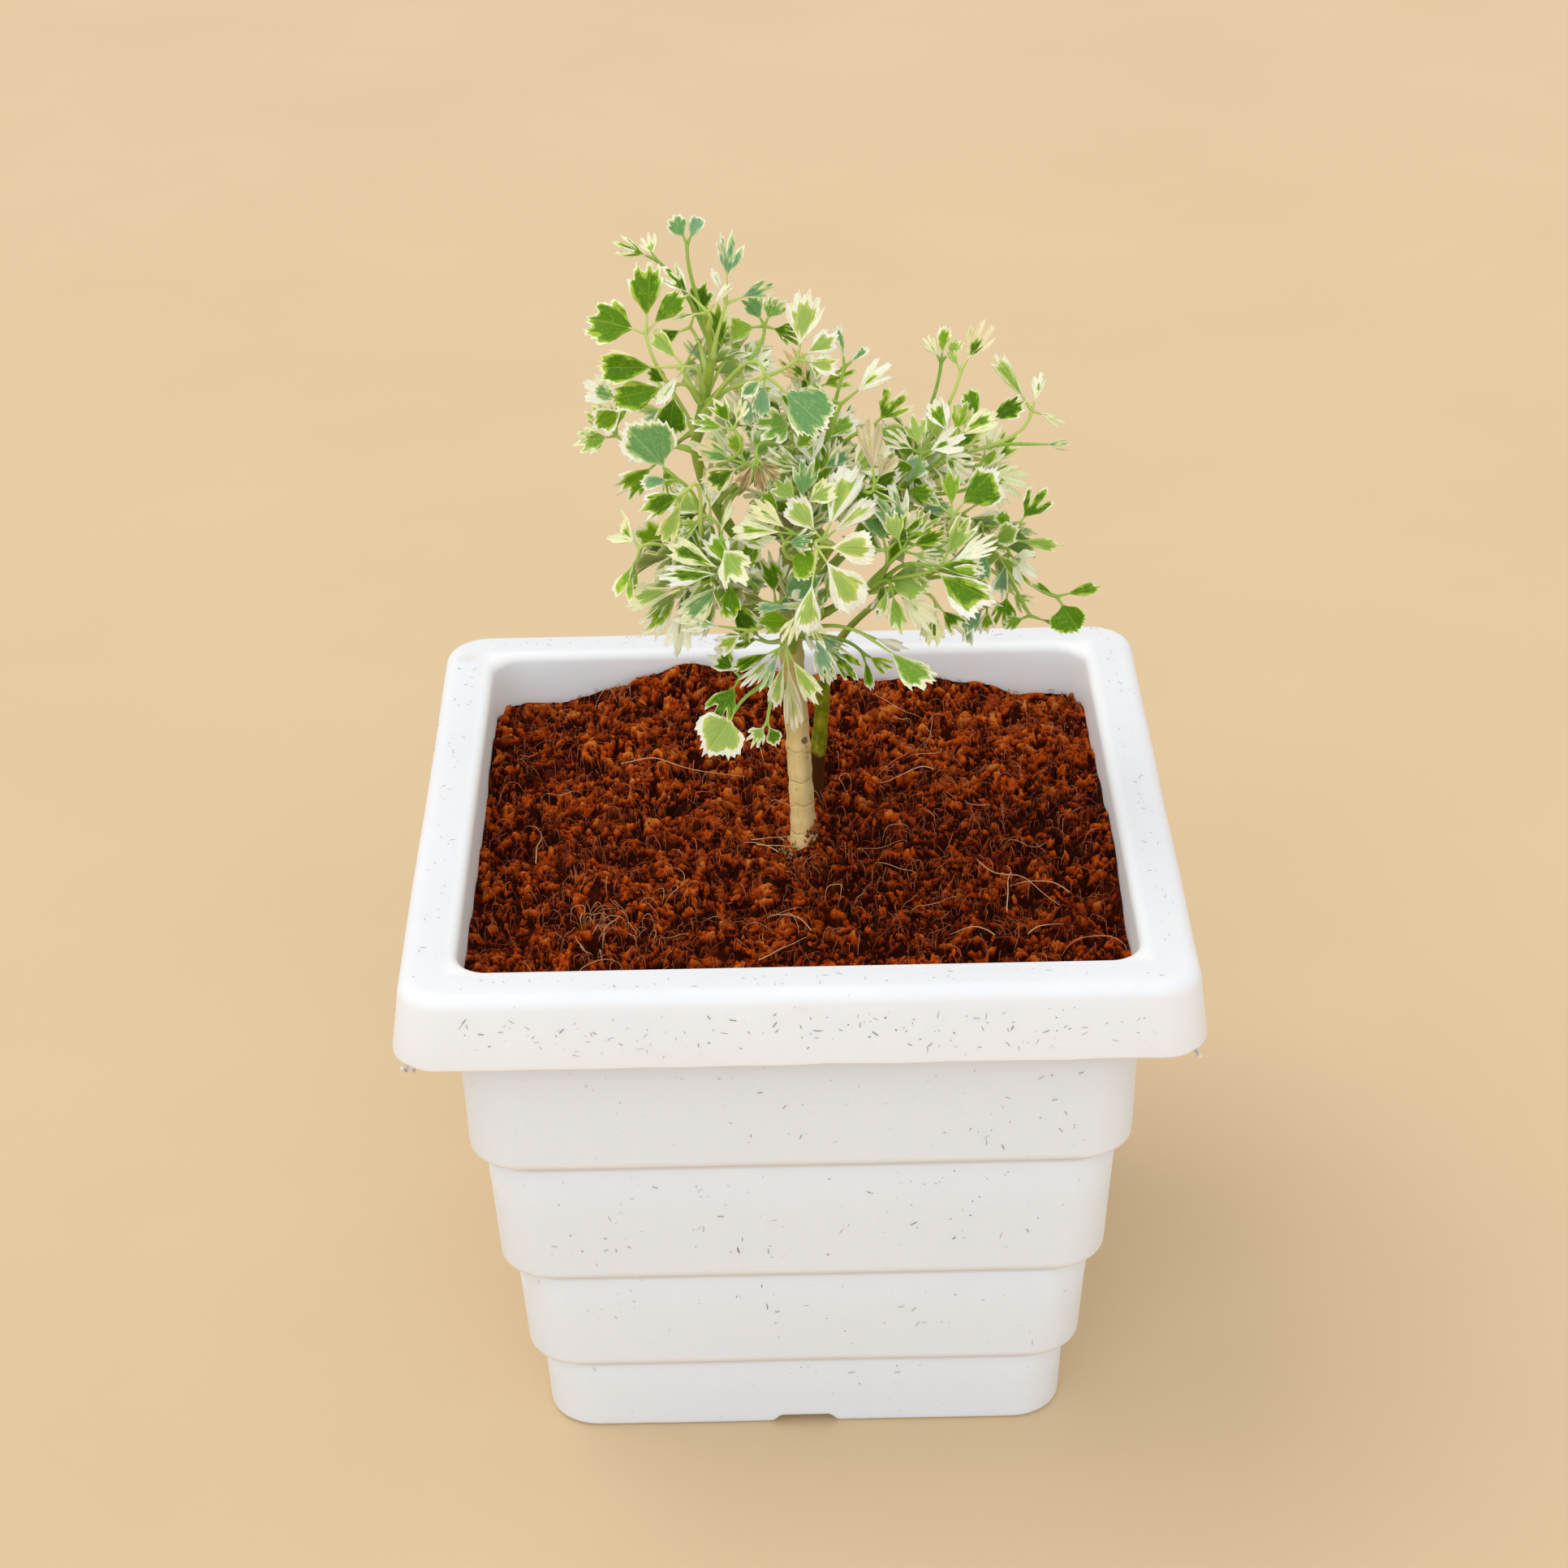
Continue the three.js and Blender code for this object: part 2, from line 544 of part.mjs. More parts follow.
// The leafy shoots. Each has the route of its stem, its radii, the leaves that are placed one by one as
// the viewer sees them, and a rule for the leaves that fill in behind. A leaf leaves the stem at a share of
// its length.
const SHOOTS = [
  {
    name: 'shoot_upper_left',
    seed: 11,
    route: [
      [-1, 1, 163], [-8, 0, 172], [-14, 0, 182], [-17.5, 0, 193], [-16, 0, 203], [-14, 0, 213], [-15, -2, 222],
    ],
    radii: [1.5, 1.4, 1.35, 1.2, 1, 0.75],
    fronds: [
      { at: 0.84, hub: [-18, 0, 235], leaflets: [[112, 6, 4.5], [66, 6.5, 3]] },
      { at: 0.88, hub: [-24, 3, 231], leaflets: [[158, 8.5, 4], [118, 6, 5]] },
      { at: 0.93, hub: [-14.5, -5, 223.5], leaflets: [[133, 12, 4.5, 5], [184, 7, 1.8], [47, 7, 1.8]] },
      { at: 0.8, hub: [-11, -2, 224], leaflets: [[86, 12.5, 6.5, 5], [22, 10, 3.5, 3], [112, 7, 1.6]] },
      { at: 0.55, hub: [-26, -6, 220], leaflets: [[84, 13, 8], [160, 12, 10], [48, 10, 5]] },
      { at: 0.7, hub: [-19, -8, 214], leaflets: [[180, 16, 6.5, 6], [132, 9, 3.5], [236, 9, 2.5]] },
      { at: 0.66, hub: [-21, -5, 209], leaflets: [[192, 12, 7], [262, 10, 6.5], [150, 6, 3]] },
      { at: 0.5, hub: [-33, 9, 193], leaflets: [[188, 8, 6], [128, 8.5, 6], [84, 7, 3.5]] },
      { at: 0.58, hub: [-30, 7, 200], leaflets: [[152, 10, 6], [205, 9, 6]] },
      { at: 0.66, hub: [2, -8, 215], leaflets: [[78, 13, 7.5], [32, 9, 5], [-14, 8, 4]] },
      { at: 0.62, hub: [-4, -15, 215], leaflets: [[-43, 15, 9.5, 5], [262, 8, 3.5], [226, 6, 3]] },
      { at: 0.62, hub: [-4, 9, 215], leaflets: [[118, 7, 4.5], [66, 7.5, 5], [186, 8, 5], [-18, 8, 5]] },
      { at: 0.76, hub: [-18, 4, 217], leaflets: [[70, 9, 5], [200, 8, 4]] },
      { at: 0.4, hub: [-10, -17, 205], leaflets: [[168, 8, 3.5], [122, 7, 4], [70, 6, 3]] },
      { at: 0.3, hub: [-8, -10, 195], leaflets: [[163, 10, 4.5], [206, 9, 5.5], [118, 7, 4]] },
    ],
    rule: { count: 1, sector: [80, 170], climb: [0.45, 0.8], reach: [12, 17], low: 0 },
  },
  {
    name: 'shoot_top',
    seed: 23,
    route: [[0, 1, 168], [1, 2, 176], [4, 2, 184], [7, 0, 192]],
    radii: [1.3, 1.2, 1, 0.75],
    fronds: [
      { at: 1, hub: [11, 0, 210], leaflets: [[96, 8, 2.4], [40, 6, 2]] },
      { at: 0.9, hub: [10, -6, 205], leaflets: [[36, 12, 5, 4], [150, 7, 3]] },
      { at: 0.85, hub: [16, -3, 199], leaflets: [[42, 9.5, 7], [-16, 7, 5.5]] },
      { at: 0.8, hub: [2, -9, 203], leaflets: [[196, 8.5, 7], [100, 7, 4.5], [20, 6, 3]] },
      { at: 0.95, hub: [16, -16, 193], leaflets: [[97, 12, 5], [60, 7, 4]] },
      { at: 0.45, hub: [7, -8, 190], leaflets: [[75, 8, 7], [140, 8, 5], [10, 7, 5]] },
      { at: 0.7, hub: [13, -9, 187.5], leaflets: [[28, 9, 8], [100, 8, 5]] },
      { at: 0.85, hub: [-6, -14, 198], leaflets: [[246, 6.5, 4], [278, 6.5, 4], [312, 6, 3.5]] },
      { at: 0.8, hub: [-2, 6, 192], leaflets: [[120, 9, 6], [60, 8, 5], [190, 7, 4]] },
      { at: 1, hub: [5, 6, 203], leaflets: [[125, 9, 6], [72, 8, 5], [20, 9, 5]] },
    ],
    rule: { count: 1, sector: [60, 120], climb: [0.7, 1], reach: [9, 12], low: 25 },
  },
  {
    name: 'shoot_right',
    seed: 37,
    route: [[1, 1, 160], [9, 3, 168], [17, 5, 176], [24, 5, 184]],
    radii: [1.3, 1.2, 1, 0.75],
    fronds: [
      { at: 0.95, hub: [33, 2, 208], leaflets: [[58, 10.5, 5.5], [118, 5, 2]] },
      { at: 0.9, hub: [30, 16, 204], leaflets: [[84, 7, 3.5], [48, 6, 3], [120, 6, 3]] },
      { at: 1, hub: [47, 8, 197], leaflets: [[124, 13, 3.5], [72, 8, 3], [-20, 7, 2.5]] },
      { at: 1, hub: [45, 8, 190], leaflets: [[-3, 9.5, 2.4, 5]] },
      { at: 0.95, hub: [37, 4, 196], leaflets: [[26, 9.5, 4.5], [112, 8, 4.5], [150, 6, 3]] },
      { at: 0.9, hub: [31, -4, 196], leaflets: [[112, 9, 5], [70, 9, 5.5], [34, 10, 5]] },
      { at: 0.5, hub: [31, -9, 183], leaflets: [[48, 12, 9.5], [140, 12, 5.5], [92, 9, 4]] },
      { at: 0.8, hub: [37, 10, 182], leaflets: [[60, 9, 5], [10, 8, 4], [120, 8, 4.5]] },
      { at: 0.7, hub: [25, -7, 195], leaflets: [[20, 9, 5], [100, 8, 5], [150, 8, 4]] },
    ],
    rule: { count: 2, sector: [30, 90], climb: [0.5, 1], reach: [12, 17], low: 0 },
  },
  {
    name: 'shoot_right_front',
    seed: 41,
    route: [[0, 0, 153], [6, -5, 160.5], [12, -9, 166], [17, -12, 170]],
    radii: [1.2, 1.1, 0.95, 0.75],
    fronds: [
      { at: 0.9, hub: [21, -18, 180], leaflets: [[24, 9.5, 5], [62, 9, 5], [106, 8, 4.5], [-12, 9, 4.5]] },
      { at: 0.95, hub: [28, -19, 177], leaflets: [[24, 12, 6], [56, 12, 5.5], [-8, 8, 3]] },
      { at: 1, hub: [25, -20, 178], leaflets: [[-30, 15, 10], [-4, 12, 4]] },
      { at: 0.85, hub: [19, -16, 172], leaflets: [[-82, 10, 4.5], [-46, 12, 6], [-112, 7, 3]] },
      { at: 0.8, hub: [28, -8, 164], leaflets: [[-95, 8, 5.5], [-50, 8, 5]] },
    ],
  },
  {
    name: 'shoot_front',
    seed: 53,
    route: [[0, 0, 159.5], [1.5, -6, 166], [5, -12, 174], [8, -17, 181]],
    radii: [1.4, 1.3, 1.15, 0.9],
    fronds: [
      { at: 0.95, hub: [6, -21, 184], leaflets: [[62, 15, 8.5, 3], [36, 12.5, 4], [128, 10, 5.5]] },
      { at: 1, hub: [5, -24, 184], leaflets: [[-4, 12, 6.5], [-58, 14, 8.5], [-99, 16, 5, 7]] },
      { at: 0.9, hub: [1, -20, 185], leaflets: [[150, 10.5, 6], [172, 13, 4]] },
      { at: 0.8, hub: [2, -17, 189], leaflets: [[80, 9, 5], [130, 7.5, 4.5], [30, 8, 4.5]] },
    ],
    rule: { count: 1, sector: [-150, -30], climb: [0.5, 0.9], reach: [8, 12], low: -30 },
  },
  {
    name: 'shoot_left',
    seed: 67,
    route: [[0, 1, 154], [-7, -3, 161], [-13, -6, 168], [-17, -8, 174]],
    radii: [1.2, 1.1, 0.95, 0.75],
    fronds: [
      { at: 0.9, hub: [-21, -12, 193], leaflets: [[136, 14, 12.5], [184, 7, 3]] },
      { at: 1, hub: [-19, -17, 193], leaflets: [[214, 10, 6.5], [242, 12, 4]] },
      { at: 0.6, hub: [-22, 18, 166], leaflets: [[178, 9.5, 7.5], [206, 8, 5.5]] },
      { at: 0.3, hub: [-11, -18, 176], leaflets: [[156, 13.5, 6], [124, 9, 6.5], [181, 14, 5]] },
      { at: 1, hub: [-20, -10, 170], leaflets: [[198, 12, 6.5], [228, 13, 6.5], [262, 14, 5.5]] },
      { at: 0.8, hub: [-11, -14, 174], leaflets: [[222, 14, 9], [190, 10, 4], [262, 9, 5]] },
      { at: 0.2, hub: [-8, -18, 164], leaflets: [[172, 15, 4.5, 6], [206, 9, 4.5]] },
      { at: 0.75, hub: [-15, -10, 184], leaflets: [[150, 9, 6], [90, 8, 5], [200, 9, 5]] },
    ],
    rule: { count: 2, sector: [130, 200], climb: [0.5, 1], reach: [10, 16], low: -30 },
  },
  {
    name: 'shoot_low',
    seed: 71,
    route: [[0, 0, 149], [0.5, -4, 154], [1, -7, 158]],
    radii: [1.1, 1, 0.8],
    fronds: [
      { at: 0.9, hub: [-2, -14, 158], leaflets: [[202, 10, 3], [222, 11, 4.5], [240, 9, 4]] },
      { at: 0.95, hub: [-1, -14, 158], leaflets: [[274, 17, 4.5], [258, 12, 3.5], [296, 12, 5]] },
      { at: 1, hub: [4, -8, 159], leaflets: [[-70, 11, 5.5], [-40, 9, 4.5]] },
      { at: 0.7, hub: [7, -5, 154], leaflets: [[-52, 9, 6], [-88, 8, 4]] },
      { at: 0.9, hub: [14, -18, 162.5], leaflets: [[-36, 16, 7.5, 6], [-18, 9, 2.2]] },
      { at: 1, hub: [2, -20, 170], leaflets: [[182, 9, 2.2], [244, 8, 4], [-60, 8, 3]] },
      { at: 0.6, hub: [-5, -5, 155], leaflets: [[168, 8, 5.5], [140, 7, 4]] },
      { at: 0.8, hub: [14, -3, 151], leaflets: [[-76, 7, 2], [-30, 7, 3.5]] },
    ],
  },
  {
    name: 'shoot_low_left',
    seed: 83,
    route: [[0.5, 0, 141], [-2, -4, 145], [-4, -7, 147]],
    radii: [0.9, 0.8, 0.7],
    fronds: [
      { at: 1, hub: [-10, -12, 151], leaflets: [[138, 7.5, 5.5], [238, 10, 6]] },
      { at: 1, hub: [-11, -14, 145], leaflets: [[238, 10.5, 11]] },
      { at: 0.8, hub: [-5, -12, 141], leaflets: [[236, 6, 4], [290, 5, 3.5]] },
    ],
  },
  {
    name: 'shoot_back',
    seed: 97,
    route: [[0.5, 1, 165], [0.5, 6, 172], [-1, 12, 179], [-2, 17, 184]],
    radii: [1.2, 1.1, 0.95, 0.75],
    fronds: [],
    rule: { count: 5, sector: [50, 130], climb: [0.5, 1], reach: [9, 16], low: -30 },
  },
];

const SECOND_STEM = {
  name: 'second_stem',
  seed: 101,
  fronds: [
    { at: 1, hub: [42, -3, 175], leaflets: [[52, 12.5, 6, 5], [-8, 10.5, 2.8], [100, 6, 3]] },
    { at: 0.95, hub: [52, 0, 161], leaflets: [[-58, 8, 8.5], [14, 10, 2.8], [150, 5, 2]] },
    { at: 0.97, hub: [47, 2, 156], leaflets: [[-20, 9, 2], [200, 6, 3]] },
    { at: 0.9, hub: [43, 8, 159], leaflets: [[262, 8, 5.5], [-40, 7, 4]] },
    { at: 0.85, hub: [39, 8, 156], leaflets: [[230, 8, 4.5], [270, 7, 4]] },
  ],
  rule: { count: 2, sector: [20, 90], climb: [0.7, 1], reach: [9, 14], low: -30 },
};

function leafySolid(plan, route, stem) {
  const random = seededRandom(plan.seed);
  const fronds = plan.rule ? [...plan.fronds, ...ruledFronds(route, plan.rule, random)] : plan.fronds;
  return joinAll([stem, ...fronds.map((frond) => leafSolid(route, frond, random))]);
}

function makeMesh(name, solid, color, roughness) {
  const material = new THREE.MeshStandardMaterial({ color, roughness, metalness: 0 });
  material.name = name;
  const mesh = new THREE.Mesh(toGeometry(solid), material);
  mesh.name = name;
  return mesh;
}

const trunkRoute = smoothRoute(TRUNK_ROUTE);
const secondRoute = smoothRoute(SECOND_STEM_ROUTE);
const trunk = toSolid(taperedTube(trunkRoute, TRUNK_RADII, TRUNK_SIDES, TRUNK_STEPS));
const trunkSpace = toSolid(taperedTube(trunkRoute, TRUNK_RADII, TRUNK_SIDES, TRUNK_STEPS, CLEARANCE));
const secondStem = toSolid(taperedTube(secondRoute, SECOND_STEM_RADII, SHOOT_SIDES, SECOND_STEM_STEPS));
const secondSpace = toSolid(
  taperedTube(secondRoute, SECOND_STEM_RADII, SHOOT_SIDES, SECOND_STEM_STEPS, CLEARANCE),
);

const pottedAralia = new THREE.Group();
pottedAralia.name = 'potted_aralia';
pottedAralia.add(makeMesh('pot', potSolid(), 0xeef0f2, 0.5));
pottedAralia.add(makeMesh('coir', soilSolid().subtract(trunkSpace.add(secondSpace)), 0x5a2616, 1));
pottedAralia.add(makeMesh('trunk', trunk, 0xc9b48c, 0.75));
pottedAralia.add(makeMesh('second_stem', leafySolid(SECOND_STEM, secondRoute, secondStem), 0x6f9a3c, 0.6));
for (const plan of SHOOTS) {
  const route = smoothRoute(plan.route);
  const steps = Math.ceil(route.getLength() / SHOOT_STEP);
  const stem = toSolid(taperedTube(route, plan.radii, SHOOT_SIDES, steps));
  const solid = largestBody(leafySolid(plan, route, stem).subtract(trunkSpace));
  pottedAralia.add(makeMesh(plan.name, solid, 0x86ad5c, 0.55));
}

export default pottedAralia;
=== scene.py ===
"""The looks of the potted aralia: a fine planter, crumbly coir, bark, and toothed variegated leaves.

Lengths are in millimetres up to new_piece(), which turns them into metres.
"""

import math
from itertools import combinations

import bpy
import numpy as np
from mathutils import Euler, Matrix, Vector, noise


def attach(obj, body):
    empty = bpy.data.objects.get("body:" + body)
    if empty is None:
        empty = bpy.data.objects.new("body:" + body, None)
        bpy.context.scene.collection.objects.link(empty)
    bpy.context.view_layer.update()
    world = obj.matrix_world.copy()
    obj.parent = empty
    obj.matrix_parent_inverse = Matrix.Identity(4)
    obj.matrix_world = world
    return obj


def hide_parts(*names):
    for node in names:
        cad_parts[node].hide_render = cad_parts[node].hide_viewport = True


MM = 0.001
NOISE_SEED = 7

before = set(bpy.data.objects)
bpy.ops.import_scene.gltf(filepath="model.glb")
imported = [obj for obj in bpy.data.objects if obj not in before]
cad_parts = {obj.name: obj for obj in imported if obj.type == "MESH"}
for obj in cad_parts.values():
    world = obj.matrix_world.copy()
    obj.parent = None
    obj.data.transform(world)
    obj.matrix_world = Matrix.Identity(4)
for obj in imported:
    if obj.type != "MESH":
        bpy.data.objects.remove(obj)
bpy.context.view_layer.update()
noise.seed_set(NOISE_SEED)


# Random numbers, vectors and curves, as in the part's source.
class Seeded:
    """The part's own random sequence, so that each leaf lies where its solid does."""

    def __init__(self, seed):
        self.state = seed

    def __call__(self):
        self.state = (self.state * 16807) % 2147483647
        return self.state / 2147483647


def unit(vector):
    return vector / np.linalg.norm(vector)


def lerp(start, end, share):
    return start + (end - start) * share


def smoothstep(low, high, value):
    share = np.clip((value - low) / (high - low), 0, 1)
    return share * share * (3 - 2 * share)


def bulge(place, centre, reach, height):
    """A round rise around centre."""
    return height * np.exp(-((place - centre) / reach) ** 2)


class Route:
    """A smooth curve through points."""

    def __init__(self, points, samples=160):
        self.points = np.array(points, float)
        self.line = np.array([self.at(share) for share in np.linspace(0, 1, samples + 1)])
        steps = np.linalg.norm(np.diff(self.line, axis=0), axis=1)
        self.lengths = np.concatenate([[0], np.cumsum(steps)])

    def at(self, share):
        points = self.points
        last = len(points) - 1
        place = share * last
        slot = min(int(place), last - 1)
        t = place - slot
        start, end = points[slot], points[slot + 1]
        before = points[slot - 1] if slot > 0 else 2 * points[0] - points[1]
        after = points[slot + 2] if slot + 2 <= last else 2 * points[last] - points[last - 1]
        enter = 0.5 * (end - before)
        leave = 0.5 * (after - start)
        return (
            start + enter * t
            + (3 * (end - start) - 2 * enter - leave) * t ** 2
            + (2 * (start - end) + enter + leave) * t ** 3
        )

    def even(self, count):
        """Points at even distances along the curve."""
        places = np.linspace(0, self.lengths[-1], count)
        return np.column_stack([np.interp(places, self.lengths, self.line[:, axis]) for axis in range(3)])


def bezier(start, first, second, end, count):
    t = np.linspace(0, 1, count)[:, None]
    s = 1 - t
    return s ** 3 * start + 3 * s ** 2 * t * first + 3 * s * t ** 2 * second + t ** 3 * end


# Meshes are gathered as vertices, faces and vertex attributes, and become one object each.
class Shape:
    def __init__(self):
        self.vertices = []
        self.faces = []
        self.values = {}
        self.count = 0

    def add(self, vertices, faces, **values):
        vertices = np.asarray(vertices, float).reshape(-1, 3)
        self.vertices.append(vertices)
        self.faces.extend(tuple(corner + self.count for corner in face) for face in faces)
        for key, value in values.items():
            self.values.setdefault(key, []).append(np.broadcast_to(value, vertices.shape))
        self.count += len(vertices)


def add_object(name, data):
    thing = bpy.data.objects.new(name, data)
    bpy.context.scene.collection.objects.link(thing)
    return thing


def new_mesh(name, shape):
    mesh = bpy.data.meshes.new(name)
    mesh.from_pydata(np.concatenate(shape.vertices) * MM, [], shape.faces)
    for key, value in shape.values.items():
        attribute = mesh.attributes.new(key, "FLOAT_VECTOR", "POINT")
        attribute.data.foreach_set("vector", np.concatenate(value).astype(np.float32).ravel())
    return mesh


def new_piece(name, shape, material, sharp):
    return finish_piece(name, new_mesh(name, shape), material, sharp)


def finish_piece(name, mesh, material, sharp):
    mesh.shade_smooth()
    mesh.set_sharp_from_angle(angle=math.radians(sharp))
    mesh.materials.clear()
    mesh.materials.append(material)
    piece = add_object(name, mesh)
    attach(piece, "root")
    return piece


def loft_faces(rings, count):
    """Quads between rings of the same number of points, and a face over each end."""
    faces = []
    for ring in range(rings - 1):
        low = ring * count
        high = low + count
        for point in range(count):
            after = (point + 1) % count
            faces.append((low + point, low + after, high + after, high + point))
    return [*faces, tuple(reversed(range(count))), tuple(range((rings - 1) * count, rings * count))]


def add_tube(shape, line, radii, sides, **values):
    """A closed round tube along a line of points."""
    line = np.asarray(line, float)
    count = len(line)
    tangents = np.gradient(line, axis=0)
    tangents /= np.linalg.norm(tangents, axis=1)[:, None]
    seed = np.array([1.0, 0, 0]) if abs(tangents[0][0]) < 0.8 else np.array([0, 1.0, 0])
    normal = unit(np.cross(tangents[0], seed))
    angles = np.arange(sides) / sides * 2 * math.pi
    radii = np.broadcast_to(radii, count)
    rings = []
    for point, tangent, radius in zip(line, tangents, radii):
        normal = unit(normal - tangent * normal.dot(tangent))
        side = np.cross(tangent, normal)
        rings.append(point + radius * (np.outer(np.cos(angles), normal) + np.outer(np.sin(angles), side)))
    shape.add(np.concatenate(rings), loft_faces(count, sides), **values)


# Shader nodes.
class Value:
    """A number or a color that a material works out, for use in sums."""

    def __init__(self, nodes, socket):
        self.nodes = nodes
        self.socket = socket

    def __add__(self, other):
        return self.nodes.math("ADD", self, other)

    def __sub__(self, other):
        return self.nodes.math("SUBTRACT", self, other)

    def __mul__(self, other):
        return self.nodes.math("MULTIPLY", self, other)

    def __abs__(self):
        return self.nodes.math("ABSOLUTE", self)


class Nodes:
    """A material's node tree, with short calls for the nodes used here."""

    def __init__(self, name):
        self.material = bpy.data.materials.new(name)
        self.material.use_nodes = True
        self.tree = self.material.node_tree
        self.shader = self.tree.nodes["Principled BSDF"]

    def put(self, socket, value):
        if isinstance(value, Value):
            self.tree.links.new(value.socket, socket)
        elif isinstance(value, tuple) and len(value) == 3 and socket.type == "RGBA":
            socket.default_value = (*value, 1.0)
        else:
            socket.default_value = value

    def outputs(self, kind, inputs, **settings):
        """The outputs of a new node."""
        node = self.tree.nodes.new(kind)
        for key, value in settings.items():
            setattr(node, key, value)
        for key, value in inputs.items():
            self.put(node.inputs[key], value)
        return node.outputs

    def value(self, kind, inputs, output=0, **settings):
        return Value(self, self.outputs(kind, inputs, **settings)[output])

    def set(self, **values):
        for key, value in values.items():
            self.put(self.shader.inputs[key.replace("_", " ")], value)

    def position(self):
        return self.value("ShaderNodeTexCoord", {}, "Object")

    def parts(self, vector):
        return [Value(self, socket) for socket in self.outputs("ShaderNodeSeparateXYZ", {0: vector})]

    def attribute(self, name):
        """The three parts of a vertex attribute."""
        return self.parts(self.value("ShaderNodeAttribute", {}, "Vector", attribute_name=name))

    def vector(self, x, y, z):
        return self.value("ShaderNodeCombineXYZ", {0: x, 1: y, 2: z})

    def scaled(self, vector, scale):
        return self.value("ShaderNodeVectorMath", {0: vector, 1: scale}, operation="MULTIPLY")

    def math(self, operation, first, second=0.0):
        return self.value("ShaderNodeMath", {0: first, 1: second}, operation=operation)

    def noise(self, vector, scale, detail=3.0, roughness=0.55):
        inputs = {"Vector": vector, "Scale": scale, "Detail": detail, "Roughness": roughness}
        return self.value("ShaderNodeTexNoise", inputs, "Fac")

    def step(self, value, low, high, to_low=0.0, to_high=1.0):
        """A smooth step of value between low and high."""
        inputs = {"Value": value, 1: low, 2: high, 3: to_low, 4: to_high}
        return self.value("ShaderNodeMapRange", inputs, interpolation_type="SMOOTHSTEP")

    def mix(self, share, first, second):
        return self.value("ShaderNodeMix", {0: share, 6: first, 7: second}, 2, data_type="RGBA")

    def ramp(self, value, stops):
        """A color for value, from stops with a place, red, green and blue."""
        color = self.value("ShaderNodeValToRGB", {0: value}, "Color")
        elements = color.socket.node.color_ramp.elements
        while len(elements) < len(stops):
            elements.new(0.5)
        for element, (place, *rgb) in zip(elements, stops):
            element.position = place
            element.color = (*rgb, 1.0)
        return color

    def bump(self, height, distance, strength=1.0):
        inputs = {"Height": height, "Distance": distance, "Strength": strength}
        self.set(Normal=self.value("ShaderNodeBump", inputs))

    def translucent(self, share, radius, scale):
        self.set(Subsurface_Weight=share, Subsurface_Radius=radius, Subsurface_Scale=scale)


LEAF_RADIUS = (0.9, 1.0, 0.3)  # how far red, green and blue light spreads in leaves and green stems


def leaf_material():
    """Green middles and cream toothed margins. Three attributes carry what differs over the leaves.

    leaf: place across the blade, from foot to rim, and distance from the margin as a share of the blade.
    tone: the green's kind, the cream margin's width, and 1 on the underside.
    wear: the cream's kind, how dry the blade is, and a number that moves the patterns.
    """
    m = Nodes("variegated_leaf")
    across, out, margin = m.attribute("leaf")
    kind, width, under = m.attribute("tone")
    shade, dry, seed = m.attribute("wear")

    streaks = m.noise(m.vector(across * 3.4, out * 1.5, seed), 1.0, 2.0)
    patches = m.noise(m.vector(across * 2.0, out * 3.0, seed), 1.6, 4.0)
    raggedness = width * 2.1 + 0.08
    depth = margin + (streaks - 0.5) * raggedness - width
    green_share = m.step(depth, -0.014, 0.016)
    middle_share = m.step(depth + (patches - 0.5) * 0.3, 0.0, 0.08)

    green = m.ramp(kind, [
        (0.0, 0.053, 0.138, 0.001), (0.3, 0.115, 0.27, 0.001), (0.48, 0.22, 0.41, 0.005),
        (0.58, 0.38, 0.53, 0.12), (0.66, 0.33, 0.49, 0.10), (0.76, 0.20, 0.37, 0.014),
        (0.88, 0.14, 0.33, 0.14), (1.0, 0.27, 0.47, 0.26),
    ])
    pale_green = m.ramp(kind, [
        (0.0, 0.30, 0.46, 0.02), (0.3, 0.45, 0.58, 0.06), (0.6, 0.58, 0.65, 0.14), (1.0, 0.49, 0.61, 0.33),
    ])
    cream = m.ramp(shade, [
        (0.0, 0.90, 0.88, 0.51), (0.4, 0.95, 0.93, 0.67), (0.85, 0.97, 0.95, 0.79),
        (0.96, 0.90, 0.77, 0.50), (1.0, 0.76, 0.57, 0.30),
    ])
    face = m.mix(green_share, cream, m.mix(middle_share, pale_green, green))

    foot_gap = out + 0.05
    side_ribs = m.step(m.math("PINGPONG", across * 3.0, 0.5) * foot_gap, 0.06, 0.02, 0.0, 0.6)
    middle_rib = m.step(abs(across) * foot_gap, 0.05, 0.02)
    veins = m.math("MAXIMUM", side_ribs, middle_rib)
    face = m.mix(veins * (green_share * 0.24), face, pale_green)

    mottled = m.noise(m.position(), 1700.0, 3.0, 0.65)
    face = m.mix(m.step(mottled, 0.5, 0.7, 0.0, 0.34), face, pale_green)
    bloom = m.mix(0.3, face, (0.40, 0.55, 0.36))
    face = m.mix(under, face, bloom)
    withered = m.ramp(streaks, [
        (0.3, 0.13, 0.075, 0.03), (0.45, 0.34, 0.23, 0.10), (0.6, 0.62, 0.47, 0.25),
        (0.75, 0.82, 0.72, 0.45),
    ])
    face = m.mix(dry, face, withered)

    m.bump(veins * -1.0 + mottled * 0.35, 0.12 * MM, 0.8)
    m.set(Base_Color=face, Roughness=0.5, Specular_IOR_Level=0.16)
    m.translucent(0.5, LEAF_RADIUS, 0.35 * MM)
    return m.material


